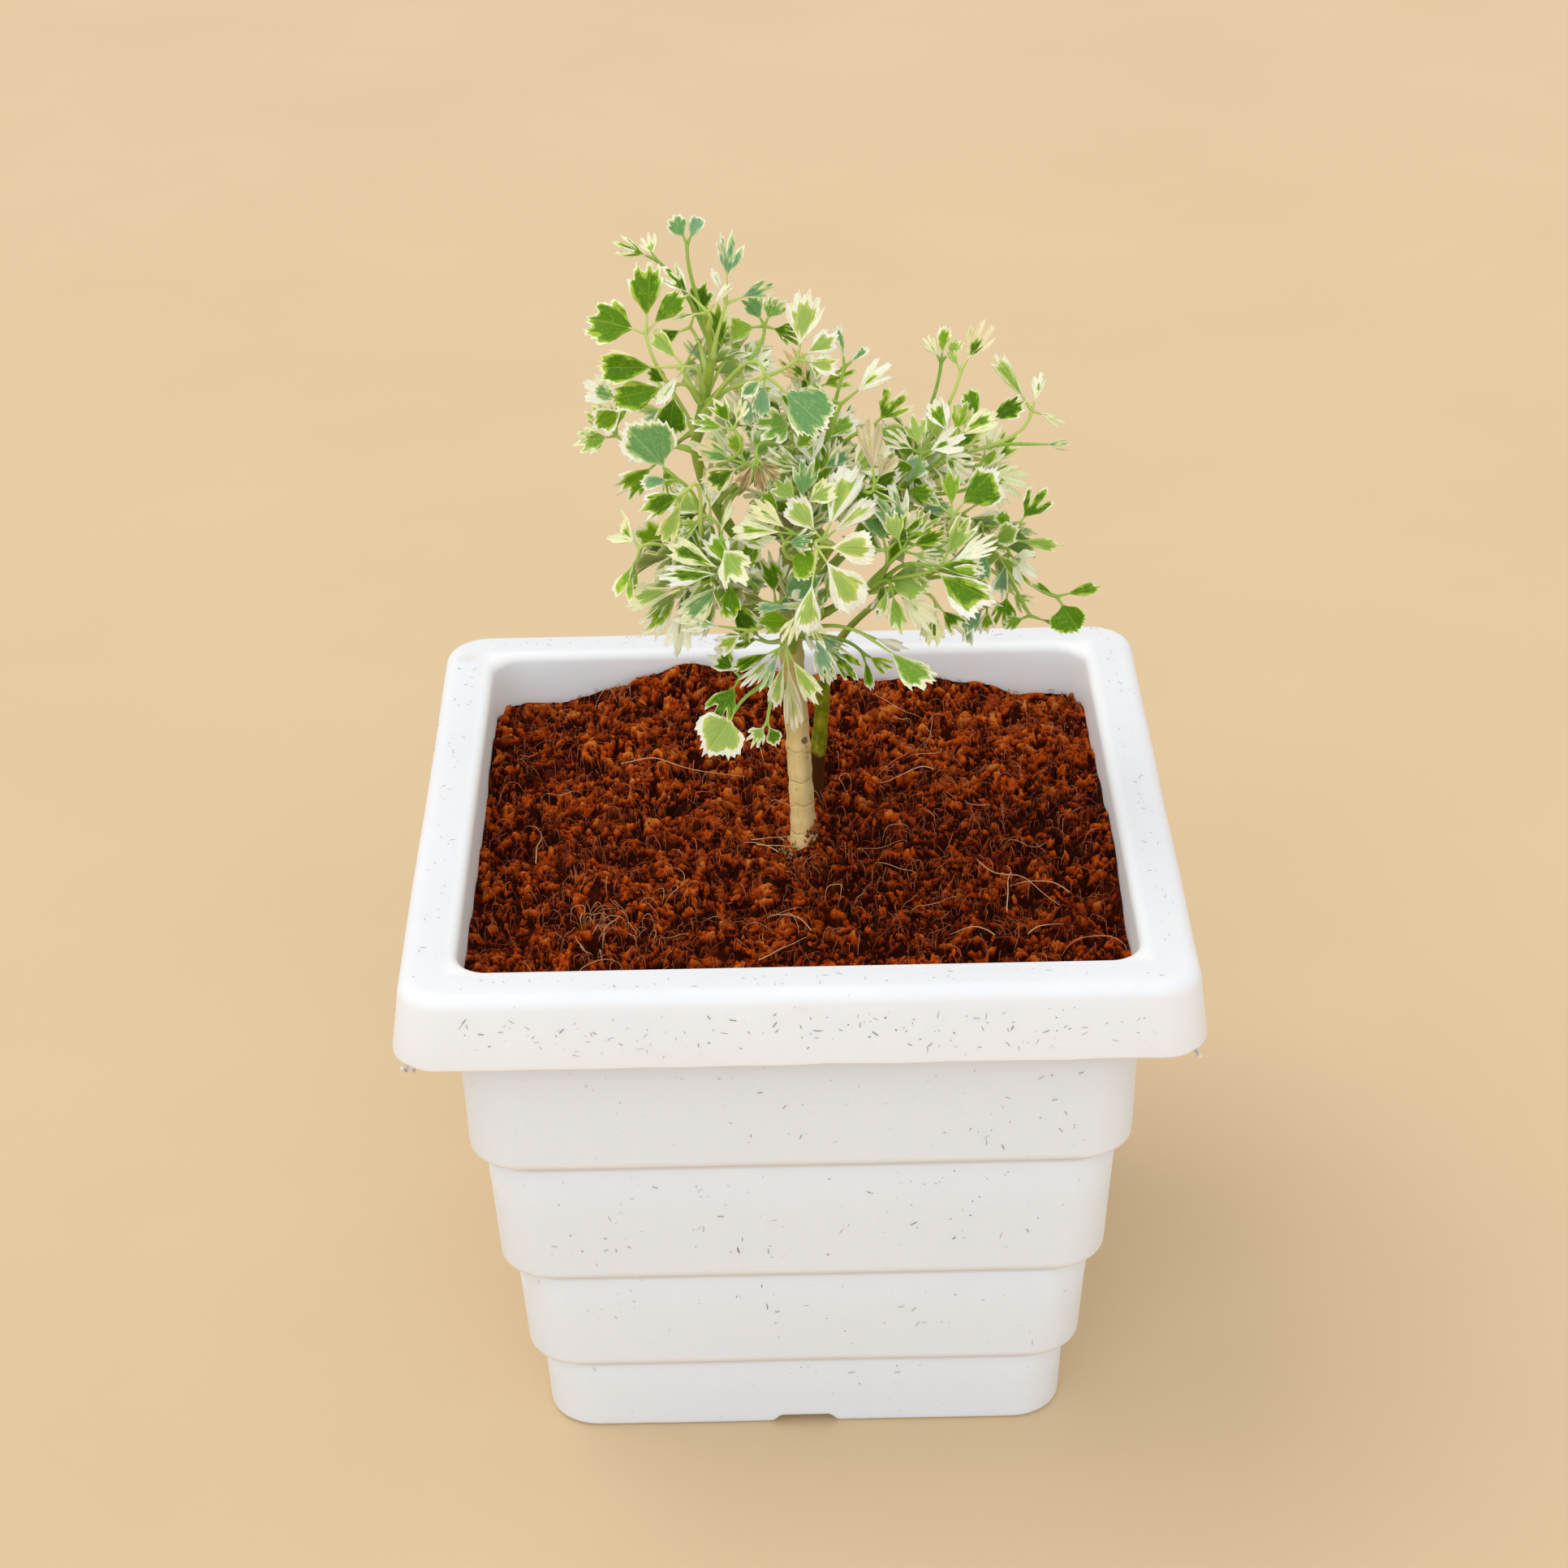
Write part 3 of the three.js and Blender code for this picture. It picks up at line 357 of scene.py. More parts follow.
def green_stem_material():
    """Petioles and shoots. The attribute tone holds a random number, and how old the stem is."""
    m = Nodes("green_stem")
    kind, _, age = m.attribute("tone")
    place = m.position()
    height = m.parts(place)[2]
    patches = m.noise(place, 260.0, 4.0, 0.65)
    fine = m.noise(m.scaled(place, (1.0, 1.0, 0.25)), 1500.0, 2.0)
    young = m.ramp(kind, [(0.0, 0.22, 0.38, 0.04), (0.5, 0.36, 0.52, 0.07), (1.0, 0.54, 0.64, 0.16)])
    old = m.ramp(patches, [
        (0.3, 0.07, 0.12, 0.001), (0.48, 0.17, 0.20, 0.001), (0.6, 0.30, 0.29, 0.004),
        (0.75, 0.50, 0.42, 0.06),
    ])
    color = m.mix(age, young, old)
    color = m.mix(m.step(fine, 0.5, 0.75, 0.0, 0.25), color, (0.60, 0.66, 0.26))
    # The second stem is darker towards its foot, dark brown below BROWN_FOOT_TOP.
    dark_foot = m.step(height + patches * (5 * MM), (BROWN_FOOT_TOP + 3.5) * MM, (BROWN_FOOT_TOP + 1.5) * MM)
    color = m.mix(dark_foot * age, color, (0.075, 0.024, 0.004))
    m.bump(fine, 0.1 * MM, 0.7)
    m.set(Base_Color=color, Roughness=0.42, Specular_IOR_Level=0.4)
    m.translucent(0.2, LEAF_RADIUS, MM)
    return m.material


def bark_material():
    m = Nodes("bark")
    place = m.position()
    height = m.parts(place)[2]
    broad = m.noise(m.scaled(place, (1.0, 1.0, 0.3)), 160.0, 4.0)
    lengthwise = m.noise(m.scaled(place, (1.0, 1.0, 0.12)), 1800.0, 3.0)
    warped = height + m.noise(place, 260.0, 2.0) * (3.5 * MM)
    ring = m.step(m.math("PINGPONG", warped, 3.1 * MM), 0.5 * MM, 0.0)
    color = m.ramp(broad, [
        (0.25, 0.62, 0.40, 0.14), (0.42, 0.83, 0.57, 0.21), (0.6, 0.94, 0.69, 0.30), (0.8, 0.95, 0.79, 0.42),
    ])
    # The trunk's right side is painted darker: painted shade.
    to_right = m.parts(m.value("ShaderNodeNewGeometry", {}, "Normal"))[0]
    color = m.mix(m.step(to_right, -0.25, 0.8, 0.0, 0.6), color, (0.36, 0.27, 0.12))
    color = m.mix(m.step(lengthwise, 0.55, 0.72, 0.0, 0.3), color, (0.36, 0.24, 0.10))
    partly = m.step(m.noise(place, 420.0, 2.0), 0.45, 0.7, 0.0, 0.4)
    color = m.mix(ring * partly, color, (0.30, 0.19, 0.08))
    spots = m.noise(place, 950.0, 1.0)
    color = m.mix(m.step(spots, 0.72, 0.78, 0.0, 0.7), color, (0.16, 0.09, 0.04))
    color = m.mix(m.step(height, 135 * MM, 165 * MM) * 0.75, color, (0.34, 0.42, 0.10))
    scar = tuple(part * MM for part in SCAR)
    away = m.value("ShaderNodeVectorMath", {0: place, 1: scar}, "Value", operation="DISTANCE")
    color = m.mix(m.step(away, 0.95 * MM, 0.55 * MM, 0.0, 0.85), color, (0.10, 0.045, 0.025))
    m.bump(lengthwise * 0.7 + ring * -0.5, 0.25 * MM)
    m.set(Base_Color=color, Roughness=0.62, Specular_IOR_Level=0.3)
    m.translucent(0.1, (1.0, 0.7, 0.3), MM)
    return m.material


def coir_material(name, lightness):
    """The attribute crumb: the height above the smooth surface, which paints raised clumps and crumb tops
    lighter and pits darker as painted light and shade, a random number lowered by the painted shadow and
    damp spots, and the share of tan.
    """
    m = Nodes(name)
    high, kind, tan = m.attribute("crumb")
    place = m.position()
    patches = m.noise(place, 95.0, 3.0, 0.6)
    grain = m.noise(place, 1500.0, 4.0, 0.75)
    further = m.step(m.parts(place)[1], 0.0, 50 * MM, 0.0, 0.12)
    # high paints raised clumps and crumb tops lighter and pits darker: painted light and shade.
    value = grain * 0.6 + high * 0.3 + (kind - 0.5) * 0.42 + further + lightness
    color = m.ramp(value, [
        (0.10, 0.035, 0.0035, 0.0002), (0.28, 0.15, 0.014, 0.0004), (0.48, 0.47, 0.054, 0.001),
        (0.66, 0.68, 0.108, 0.005), (0.92, 0.84, 0.26, 0.04),
    ])
    color = m.mix(m.step(patches, 0.48, 0.72, 0.0, 0.5), color, (0.12, 0.012, 0.0004))
    color = m.mix(tan, color, m.mix(grain, (0.36, 0.20, 0.06), (0.85, 0.62, 0.30)))
    m.bump(grain, 0.8 * MM)
    m.set(Base_Color=color, Roughness=m.step(patches, 0.4, 0.6, 0.7, 0.5), Specular_IOR_Level=0.06)
    return m.material


def fibre_material(name, dark, light):
    m = Nodes(name)
    kind, _, _ = m.attribute("crumb")
    along = m.noise(m.position(), 500.0, 2.0)
    color = m.mix(kind * 0.7 + along * 0.3, dark, light)
    m.set(Base_Color=color, Roughness=0.5, Specular_IOR_Level=0.3)
    return m.material


def plastic_material():
    m = Nodes("white_plastic")
    place = m.position()
    x, y, height = m.parts(place)
    cloud = m.noise(place, 28.0, 3.0)
    fine = m.noise(place, 1400.0, 2.0)
    skin = m.noise(place, 220.0, 2.0)
    color = m.mix(m.step(cloud, 0.3, 0.75), (0.825, 0.840, 0.880), (0.850, 0.862, 0.898))
    body = m.step(height, SKIRT_BOTTOM * MM, (SKIRT_BOTTOM - 1) * MM, 0.0, 0.7)
    color = m.mix(body, color, (0.805, 0.842, 0.925))
    stains = m.noise(m.scaled(place, (1.0, 1.0, 1.6)), 46.0, 4.0, 0.6)
    color = m.mix(m.step(stains, 0.66, 0.78, 0.0, 0.2), color, (0.62, 0.46, 0.27))
    speck = m.noise(place, 700.0, 1.0)
    color = m.mix(m.step(speck, 0.76, 0.80, 0.0, 0.3), color, (0.40, 0.36, 0.32))
    # Painted shade and dirt in the crease under each band's edge.
    for edge, _, _ in BANDS[1:]:
        away = abs(height - (edge - CREASE_DROP) * MM)
        color = m.mix(m.step(away, 1.3 * MM, 0.3 * MM, 0.0, 0.42), color, (0.50, 0.37, 0.25))
    # Painted shade under the turned-down rim, broken up by the stains.
    shade_and_stain_below_rim = m.step(height, (SKIRT_BOTTOM - 10) * MM, SKIRT_BOTTOM * MM, 0.0, 0.9) * stains
    outside = m.step(height, (SKIRT_BOTTOM + 0.2) * MM, SKIRT_BOTTOM * MM)
    color = m.mix(shade_and_stain_below_rim * outside, color, (0.62, 0.46, 0.30))
    # The walls inside the opening are painted lighter, as painted light.
    half = m.math("MAXIMUM", abs(x), abs(y))
    within = m.step(half, (OPENING_HALF + 1) * MM, OPENING_WALL_HALF * MM)
    painted_light_in_opening = within * m.step(height, (SKIRT_BOTTOM + 1) * MM, COLLAR_BOTTOM * MM)
    color = m.mix(painted_light_in_opening, color, (0.94, 0.95, 0.97))
    m.bump(fine * 0.35 + skin, 0.07 * MM)
    m.set(Base_Color=color, Roughness=m.step(skin, 0.2, 0.8, 0.38, 0.5), Specular_IOR_Level=0.45)
    m.translucent(0.5, (3.0, 2.3, 1.9), MM)
    return m.material


def fleck_material():
    m = Nodes("dark_fleck")
    tone = m.noise(m.position(), 90.0, 1.0)
    m.set(Base_Color=m.mix(tone, (0.10, 0.09, 0.10), (0.55, 0.55, 0.59)), Roughness=0.6)
    return m.material


# Planter, with the section of its solid and finer rounds. Widths are halves, from the middle to the face.
POT_HEIGHT = 118.0
WALL = 2.0
FLOOR_TOP = 4.5
FOOT_RECESS = 2.5
FOOT_INNER_HALF = 43.0
SKIRT_BOTTOM = 103.0
SKIRT_HALF = 76.0
SKIRT_TOP_HALF = 74.5
RIM_EDGE_RADIUS = 3.0
RIM_TOP_HALF = SKIRT_TOP_HALF - RIM_EDGE_RADIUS
RIM_CORNER = 9.5
OPENING_HALF = 65.8
OPENING_EDGE_RADIUS = 2.0
OPENING_WALL_HALF = 63.8
OPENING_CORNER = 7.0
COLLAR_BOTTOM = 105.5
BODY_CORNER = 10.0
BAND_EDGE_RADIUS = 2.6
CREASE_DROP = 0.45  # how far below a band's edge the painted shade and dirt in the crease are strongest
FOOT_EDGE_RADIUS = 1.2
BANDS = [  # the level of the lower edge, and the half widths at bottom and top
    (0.0, 52.2, 53.0),
    (17.6, 55.7, 57.1),
    (42.2, 59.8, 61.4),
    (71.4, 64.1, 65.0),
]
CORNER_STEPS = 12
EDGE_STEPS = 6
SIDE_STEPS = 24
DRAIN_HOLE_RADIUS = 4.0
DRAIN_HOLE_REACH = 26.0
DRAIN_HOLE_SIDES = 28
NOTCH_HEIGHT = 2.1
NOTCH_TOP_WIDTH = 10.0
NOTCH_BOTTOM_WIDTH = 14.4
SKIRT_TILT = 0.1
BODY_TILT = -0.05
RIM_LEVEL = POT_HEIGHT - 4  # flecks on the walls lie below it,
FOOT_LEVEL = 4  # and above this
FLECKS = 1900
SKIRT_FLECK_SHARE = 0.32
FLECK_EDGE_GAP = 3.2  # flecks on the body keep this far from the bands' edges
TOP_FLECKS = 170
TOP_FLECK_REACH = 68.0
NIBS = [  # moulding flash: where each nib is, its direction from above, and its size
    ((-73.2, -73.4, 103.0), (0.7, 0.7), 1.7),
    ((-71.6, -74.2, 103.1), (1.0, 0.1), 0.9),
    ((73.3, -73.0, 103.0), (0.6, -0.7), 2.1),
    ((-63.4, -62.9, 116.3), (0.7, 0.7), 2.0),
    ((-62.4, -63.6, 116.2), (1.0, -0.3), 1.5),
]


def square_ring(half, corner, height):
    """A level square ring with round corners, anticlockwise from above."""
    points = []
    for quarter in range(4):
        turn = quarter * math.pi / 2
        for step in range(CORNER_STEPS + SIDE_STEPS):
            angle = min(step, CORNER_STEPS) / CORNER_STEPS * math.pi / 2
            slide = max(step - CORNER_STEPS, 0) / SIDE_STEPS
            x = half - corner + corner * math.cos(angle) - slide * 2 * (half - corner)
            y = half - corner + corner * math.sin(angle)
            points.append((
                x * math.cos(turn) - y * math.sin(turn),
                x * math.sin(turn) + y * math.cos(turn),
                height,
            ))
    return np.array(points)


def quarter_round(half, height, radius, start, end):
    angles = np.radians(np.linspace(start, end, EDGE_STEPS + 1))
    return [(half + radius * math.cos(a), height + radius * math.sin(a)) for a in angles]


def band_outline():
    points = []
    for band, (edge, bottom, top) in enumerate(BANDS):
        upper = BANDS[band + 1][0] if band + 1 < len(BANDS) else SKIRT_BOTTOM
        radius = FOOT_EDGE_RADIUS if edge == 0 else BAND_EDGE_RADIUS
        points += quarter_round(bottom - radius, edge + radius, radius, -90, 0)
        points += [(lerp(bottom, top, 0.5), lerp(edge + radius, upper, 0.5)), (top, upper - 0.5)]
        points += [(top - 0.15, upper - 0.08)]
    return points


def inner_outline():
    points = quarter_round(OPENING_HALF, POT_HEIGHT - OPENING_EDGE_RADIUS, OPENING_EDGE_RADIUS, 90, 180)
    points.append((OPENING_WALL_HALF - 0.3, COLLAR_BOTTOM))
    level = COLLAR_BOTTOM
    for edge, bottom, top in reversed(BANDS):
        points.append((top - WALL, level))
        level = FLOOR_TOP if edge == 0 else edge + WALL
        points.append((bottom - WALL, level))
    return points


def moulded(ring):
    """The slight bow and ripple of thin moulded walls."""
    for point in ring:
        place = Vector(point) / 34
        shift = 0.16 * noise.noise(place) + 0.05 * noise.noise(place * 3.1)
        out = Vector((point[0], point[1], 0)).normalized()
        point[:2] += shift * np.array(out[:2])
        if abs(point[2] - SKIRT_BOTTOM) < 1.5:
            point[2] += 0.32 * noise.noise(Vector(point) / 13) + 0.12 * noise.noise(Vector(point) / 3)


def planter_piece():
    outside = [
        (FOOT_INNER_HALF - 0.6, FOOT_RECESS),
        (FOOT_INNER_HALF, 0),
        *band_outline(),
        (OPENING_HALF + 0.4, COLLAR_BOTTOM),
        (OPENING_HALF + 0.6, POT_HEIGHT - WALL - 0.4),
        (SKIRT_TOP_HALF - WALL - 0.6, POT_HEIGHT - WALL - 0.4),
        (SKIRT_HALF - WALL, SKIRT_BOTTOM + 0.4),
        (SKIRT_HALF - 1.3, SKIRT_BOTTOM),
        (SKIRT_HALF - 0.5, SKIRT_BOTTOM),
        (SKIRT_HALF - 0.05, SKIRT_BOTTOM + 0.45),
        (SKIRT_HALF, SKIRT_BOTTOM + 1.1),
        (lerp(SKIRT_HALF, SKIRT_TOP_HALF, 0.5), SKIRT_BOTTOM + 6),
        *quarter_round(RIM_TOP_HALF, POT_HEIGHT - RIM_EDGE_RADIUS, RIM_EDGE_RADIUS, 6, 90),
        (lerp(OPENING_HALF, RIM_TOP_HALF, 0.5), POT_HEIGHT + 0.05),
    ]
    rings = []
    for half, height in outside:
        corner = RIM_CORNER - 0.6 * (SKIRT_HALF - half) if half > OPENING_HALF else BODY_CORNER
        rings.append(square_ring(half, max(corner, OPENING_CORNER), height))
    for ring in rings[2:]:
        moulded(ring)
    rings += [square_ring(half, OPENING_CORNER, height) for half, height in inner_outline()]
    shape = Shape()
    shape.add(np.concatenate(rings), loft_faces(len(rings), len(rings[0])))
    mesh = with_cuts(new_mesh("planter", shape))
    piece = finish_piece("planter", mesh, plastic_material(), 32.0)
    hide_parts("pot")


def notch_rings():
    """A bar for the water gap under the middle of one side: narrower at its top, with a round roof."""
    low, high = NOTCH_BOTTOM_WIDTH / 2, NOTCH_TOP_WIDTH / 2
    right = [(low + 1, -1), (low, 0), (high + 0.4, NOTCH_HEIGHT - 0.35), (high - 0.3, NOTCH_HEIGHT)]
    left = [(-across, height) for across, height in reversed(right)]
    section = [left[-1], *right, *left[:-1]]
    ends = (FOOT_INNER_HALF - 2, BANDS[0][1] + 2)
    return [[(across, -end, height) for across, height in section] for end in ends]


def with_cuts(mesh):
    """The planter's mesh with the holes in its floor and the water gaps under its sides cut out."""
    shape = Shape()
    for x, y in [(0, 0), (1, 1), (-1, 1), (-1, -1), (1, -1)]:
        place = np.array([x * DRAIN_HOLE_REACH, y * DRAIN_HOLE_REACH, 0])
        add_tube(shape, [place - (0, 0, 1), place + (0, 0, 9)], DRAIN_HOLE_RADIUS, DRAIN_HOLE_SIDES)
    inner, outer = notch_rings()
    for side in range(4):
        turn = np.array(Matrix.Rotation(side * math.pi / 2, 3, "Z"))
        shape.add(np.array(inner + outer) @ turn.T, loft_faces(2, len(inner)))
    tool = add_object("holes", new_mesh("holes", shape))
    body = add_object("body", mesh)
    cut = body.modifiers.new("cut", "BOOLEAN")
    cut.operation = "DIFFERENCE"
    cut.solver = "EXACT"
    cut.object = tool
    result = bpy.data.meshes.new_from_object(body.evaluated_get(bpy.context.evaluated_depsgraph_get()))
    bpy.data.objects.remove(body)
    bpy.data.objects.remove(tool)
    return result


def side_axes(side):
    """The level directions out of one side of the planter and along it."""
    turn = side * math.pi / 2
    return np.array([math.sin(turn), -math.cos(turn), 0]), np.array([math.cos(turn), math.sin(turn), 0])


def wall_point(side, across, height):
    """A point on the planter's outside, and the directions out of the wall and along it."""
    if height > SKIRT_BOTTOM:
        half = np.interp(height, [SKIRT_BOTTOM, POT_HEIGHT - RIM_EDGE_RADIUS], [SKIRT_HALF, SKIRT_TOP_HALF])
        tilt = SKIRT_TILT
    else:
        edge, bottom, top = [band for band in BANDS if band[0] <= height][-1]
        levels = [band[0] for band in BANDS] + [SKIRT_BOTTOM]
        upper = min(level for level in levels if level > edge)
        half = np.interp(height, [edge + BAND_EDGE_RADIUS, upper], [bottom, top])
        tilt = BODY_TILT
    flat, along = side_axes(side)
    place = flat * half + along * across * (half - BODY_CORNER) + (0, 0, height)
    return place, unit(flat + (0, 0, tilt)), along


def fleck_piece():
    """Short dark fibres in the plastic, closest together on the turned-down rim."""
    random = Seeded(131)
    shape = Shape()
    steps = np.linspace(-0.5, 0.5, 5)
    for index in range(FLECKS):
        on_skirt = random() < SKIRT_FLECK_SHARE
        if on_skirt:
            level = lerp(SKIRT_BOTTOM + 1.5, RIM_LEVEL, random())
        else:
            level = lerp(FOOT_LEVEL, SKIRT_BOTTOM - 2, random() ** 0.8)
        place, out, along = wall_point(index % 4, 2 * random() - 1, level)
        heading = 2 * math.pi * random()
        length = 0.25 + 1.3 * random() ** (2 if on_skirt else 3)
        width = 0.05 + 0.1 * random() ** 2
        bend = 0.5 * (random() - 0.5)
        edge_gap = min(abs(level - edge - 1) for edge, _, _ in BANDS)
        if not on_skirt and edge_gap < FLECK_EDGE_GAP:
            continue
        up = np.cross(out, along)
        line = [
            place + (along * math.cos(course) + up * math.sin(course)) * length * step + out * 0.02
            for course, step in zip(heading + bend * steps, steps)
        ]
        add_tube(shape, line, width * (1 - 1.2 * steps ** 2), 4)
    for index in range(TOP_FLECKS):
        flat, along = side_axes(index % 4)
        across = (2 * random() - 1) * TOP_FLECK_REACH
        half = lerp(OPENING_HALF + 1.5, RIM_TOP_HALF, random())
        place = flat * half + along * across + (0, 0, POT_HEIGHT + 0.06)
        heading = 2 * math.pi * random()
        ahead = along * math.cos(heading) + flat * math.sin(heading)
        ahead = ahead * (0.3 + 1.1 * random() ** 2) / 2
        add_tube(shape, [place - ahead, place, place + ahead], [0.02, 0.06, 0.02], 4)
    new_piece("planter_flecks", shape, fleck_material(), 60.0)


def flash_piece(material):
    """Ragged nibs of moulding flash, under the rim's front corners and in an inner corner."""
    random = Seeded(17)
    shape = Shape()
    for place, (x, y), size in NIBS:
        place = np.array(place)
        along = unit(np.array([x, y, 0.0]))
        fall = size * (0.5 if place[2] > POT_HEIGHT - 8 else -1)
        line = [
            place + along * size * (share - 0.5) + (0, 0, fall * share * random())
            for share in np.linspace(0, 1, 5)
        ]
        radii = np.array([0.3 + 0.25 * random() for _ in line])
        add_tube(shape, line, radii * 0.8, 5)
        drop = [place, place + (0.1, 0, fall * 0.5), place + (0.3, 0.1, fall)]
        add_tube(shape, drop, [0.42, 0.3, 0.08], 5)
    new_piece("planter_flash", shape, material, 60.0)


# Coir. Its body has the shape of the planter's inside, and its top is a fine grid with crumbs and fibres.
CLEARANCE = 0.3
SOIL_LEVEL = 108.0
SOIL_LOWEST = 106.5
SOIL_MOUNDS = [  # x, y, height, and how far it spreads
    (-16, 62, 7, 22),
    (24, 62, 3, 18),
    (62, -6, 4, 16),
    (-60, 60, -3.5, 14),
    (62, 60, -4, 14),
    (-62, 6, -2, 18),
    (2, 2, -1.2, 10),
    (30, -40, 1.4, 16),
    (-34, -22, 1.2, 15),
]
SOIL_WAVE_HEIGHT = 0.55
SHADOW_AND_DAMP_SPOTS = [  # painted shadow and damp patches on the coir: x, y, how much darker, and how far it spreads
    (-56, 37, 0.48, 13),
    (52, 5, 0.46, 13),
    (20, -9, 0.36, 12),
    (38, -40, 0.4, 7),
    (-62, -33, 0.38, 11),
    (11, -29, 0.24, 8),
    (9, 26, 0.34, 8),
    (-6, -57, 0.24, 7),
    (-25, 30, -0.14, 22),
    (-8, -4, -0.16, 10),
    (42, 25, -0.16, 12),
]
SOIL_GRID = 284
SOIL_EDGE = OPENING_WALL_HALF - 0.25
RELIEF = 1.1  # how far the clumps stand out
LARGE_CELL = 2.9
SMALL_CELL = 1.25
LUMPS = 5000
LEAST_LUMP = 0.26
LARGE_LUMP = 0.55  # larger ones get more faces
FIBRE_STEPS = 5
STEM_FOOT = 2  # the main stem's x in the coir
STEM_REACH = 2.6  # from the stem's middle to its bark
STEM_LUMPS = 150
STEM_SPECKS = 16
LEAST_SPECK = 0.5
SPECK_TAN = 0.12
FIBRES = 2600
CURLS = 90
CURL_STEPS = 16
STRAND_STEPS = 24
STRANDS = [  # long pale fibres: where each starts, its heading in radians, length, bow, and lift
    (36, -12, -1.3, 24, 0.5, 1.0),
    (41, -33, 1.9, 17, -0.5, 1.6),
    (38, -44, 2.2, 9, 0.8, 1.8),
    (44, -42, 0.9, 8, -0.6, 1.6),
    (-37, 31, 0.05, 27, -0.45, 0.8),
    (30, 25, 2.8, 13, 0.9, 1.2),
    (-52, -8, 1.9, 11, -0.5, 1.4),
    (54, -26, 2.4, 12, 0.7, 1.0),
    (3, -38, 2.0, 10, 0.8, 2.0),
    (-8, -50, 0.3, 14, 0.6, 1.0),
    (-9, -3, 0.2, 8, 0.3, 0.5),
    (-8, -5, -0.3, 10, 0.5, 0.6),
    (-3, -6, 2.7, 7, 0.4, 0.5),
]
STRAW_PATCH = (-35, -36)
STRAW_PATCH_WIDTH = 15


def with_mounds(start, x, y, mounds):
    """start and round mounds on it, each with its place, height and spread."""
    rises = (
        rise * np.exp(-((x - mound_x) ** 2 + (y - mound_y) ** 2) / spread ** 2)
        for mound_x, mound_y, rise, spread in mounds
    )
    return sum(rises, start)


def soil_height(x, y):
    height = with_mounds(SOIL_LEVEL, x, y, SOIL_MOUNDS)
    height = height + SOIL_WAVE_HEIGHT * np.sin(0.37 * x + 0.16 * y)
    height = height + SOIL_WAVE_HEIGHT * np.sin(0.21 * x - 0.41 * y + 1.3)
    return np.maximum(height, SOIL_LOWEST)


def crumbs_at(place, size):
    """Broken cells of about one size: how far a point stands out, and its cell's own random number."""
    distances, points = noise.voronoi(place / size)
    return 0.7 - distances[0], noise.cell(points[0] * 91.7)


def crumble(x, y):
    """The clumps' and crumbs' height above the smooth surface, how far a point stands out, and its shade."""
    place = Vector((x, y, 0.0))
    clumps = 1.9 * noise.noise(place / 9) + 0.9 * noise.noise(place / 4.2)
    warped = place + 1.5 * noise.noise_vector(place / 2.9) + 0.6 * noise.noise_vector(place / 0.9)
    large, large_shade = crumbs_at(warped, LARGE_CELL)
    small, small_shade = crumbs_at(warped, SMALL_CELL)
    pits = max(noise.noise(place / 2.7) - 0.12, 0)
    relief = 0.65 * large + 0.45 * small + 0.3 * noise.noise(place / 0.75) - 2.6 * pits
    relief += 0.55 * (large_shade - 0.5) + 0.75 * (small_shade - 0.5)
    return RELIEF * (clumps + relief - 0.3), relief, 0.35 * large_shade + 0.65 * small_shade


def rounded_square(x, y, half, corner):
    """Moves a grid's points so that its outer square gets round corners."""
    angle = np.arctan2(y, x)
    c, s = abs(np.cos(angle)), abs(np.sin(angle))
    square = half / np.maximum(c, s)
    core = half - corner
    middle = core * (c + s)
    round_reach = middle + np.sqrt(np.maximum(middle ** 2 - 2 * core ** 2 + corner ** 2, 0))
    in_corner = (square * np.minimum(c, s)) > core
    scale = np.where(in_corner, round_reach / square, 1.0)
    return x * scale, y * scale


def coir_piece():
    n = SOIL_GRID
    steps = np.linspace(-SOIL_EDGE, SOIL_EDGE, n)
    x, y = (grid.ravel() for grid in np.meshgrid(steps, steps))
    x, y = rounded_square(x, y, SOIL_EDGE, OPENING_CORNER)
    rough, relief, shade = np.array([crumble(*point) for point in zip(x, y)]).T
    edge_gap = SOIL_EDGE - np.maximum(abs(x), abs(y))
    top = np.column_stack([x, y, soil_height(x, y) + rough * smoothstep(-0.5, 1.5, edge_gap)])
    corners = np.arange(n * n).reshape(n, n)
    a, b = corners[:-1, :-1].ravel(), corners[:-1, 1:].ravel()
    c, d = corners[1:, 1:].ravel(), corners[1:, :-1].ravel()
    faces = [*zip(a, b, c, d)]
    rim = np.concatenate([corners[0, :-1], corners[:-1, -1], corners[-1, :0:-1], corners[:0:-1, 0]])
    rings = []
    above = rim
    for half, height in inner_outline()[EDGE_STEPS + 1:]:
        ring = top[rim] * ((half - CLEARANCE) / SOIL_EDGE)
        ring[:, 2] = min(height, COLLAR_BOTTOM) + CLEARANCE
        below = n * n + len(rings) * len(rim) + np.arange(len(rim))
        faces += [*zip(np.roll(above, -1), above, below, np.roll(below, -1))]
        rings.append(ring)
        above = below
    faces.append(tuple(above[::-1]))
    # The second part of crumb is each cell's shade, lowered by the painted shadow and damp spots.
    crumb = np.column_stack([relief, shade - with_mounds(0, x, y, SHADOW_AND_DAMP_SPOTS), np.zeros(n * n)])
    plain = np.tile([0.0, 0.5, 0.0], (len(rings) * len(rim), 1))
    shape = Shape()
    shape.add(np.concatenate([top, *rings]), faces, crumb=np.concatenate([crumb, plain]))
    piece = new_piece("coir_bed", shape, coir_material("coir", 0.21), 42.0)
    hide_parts("coir")


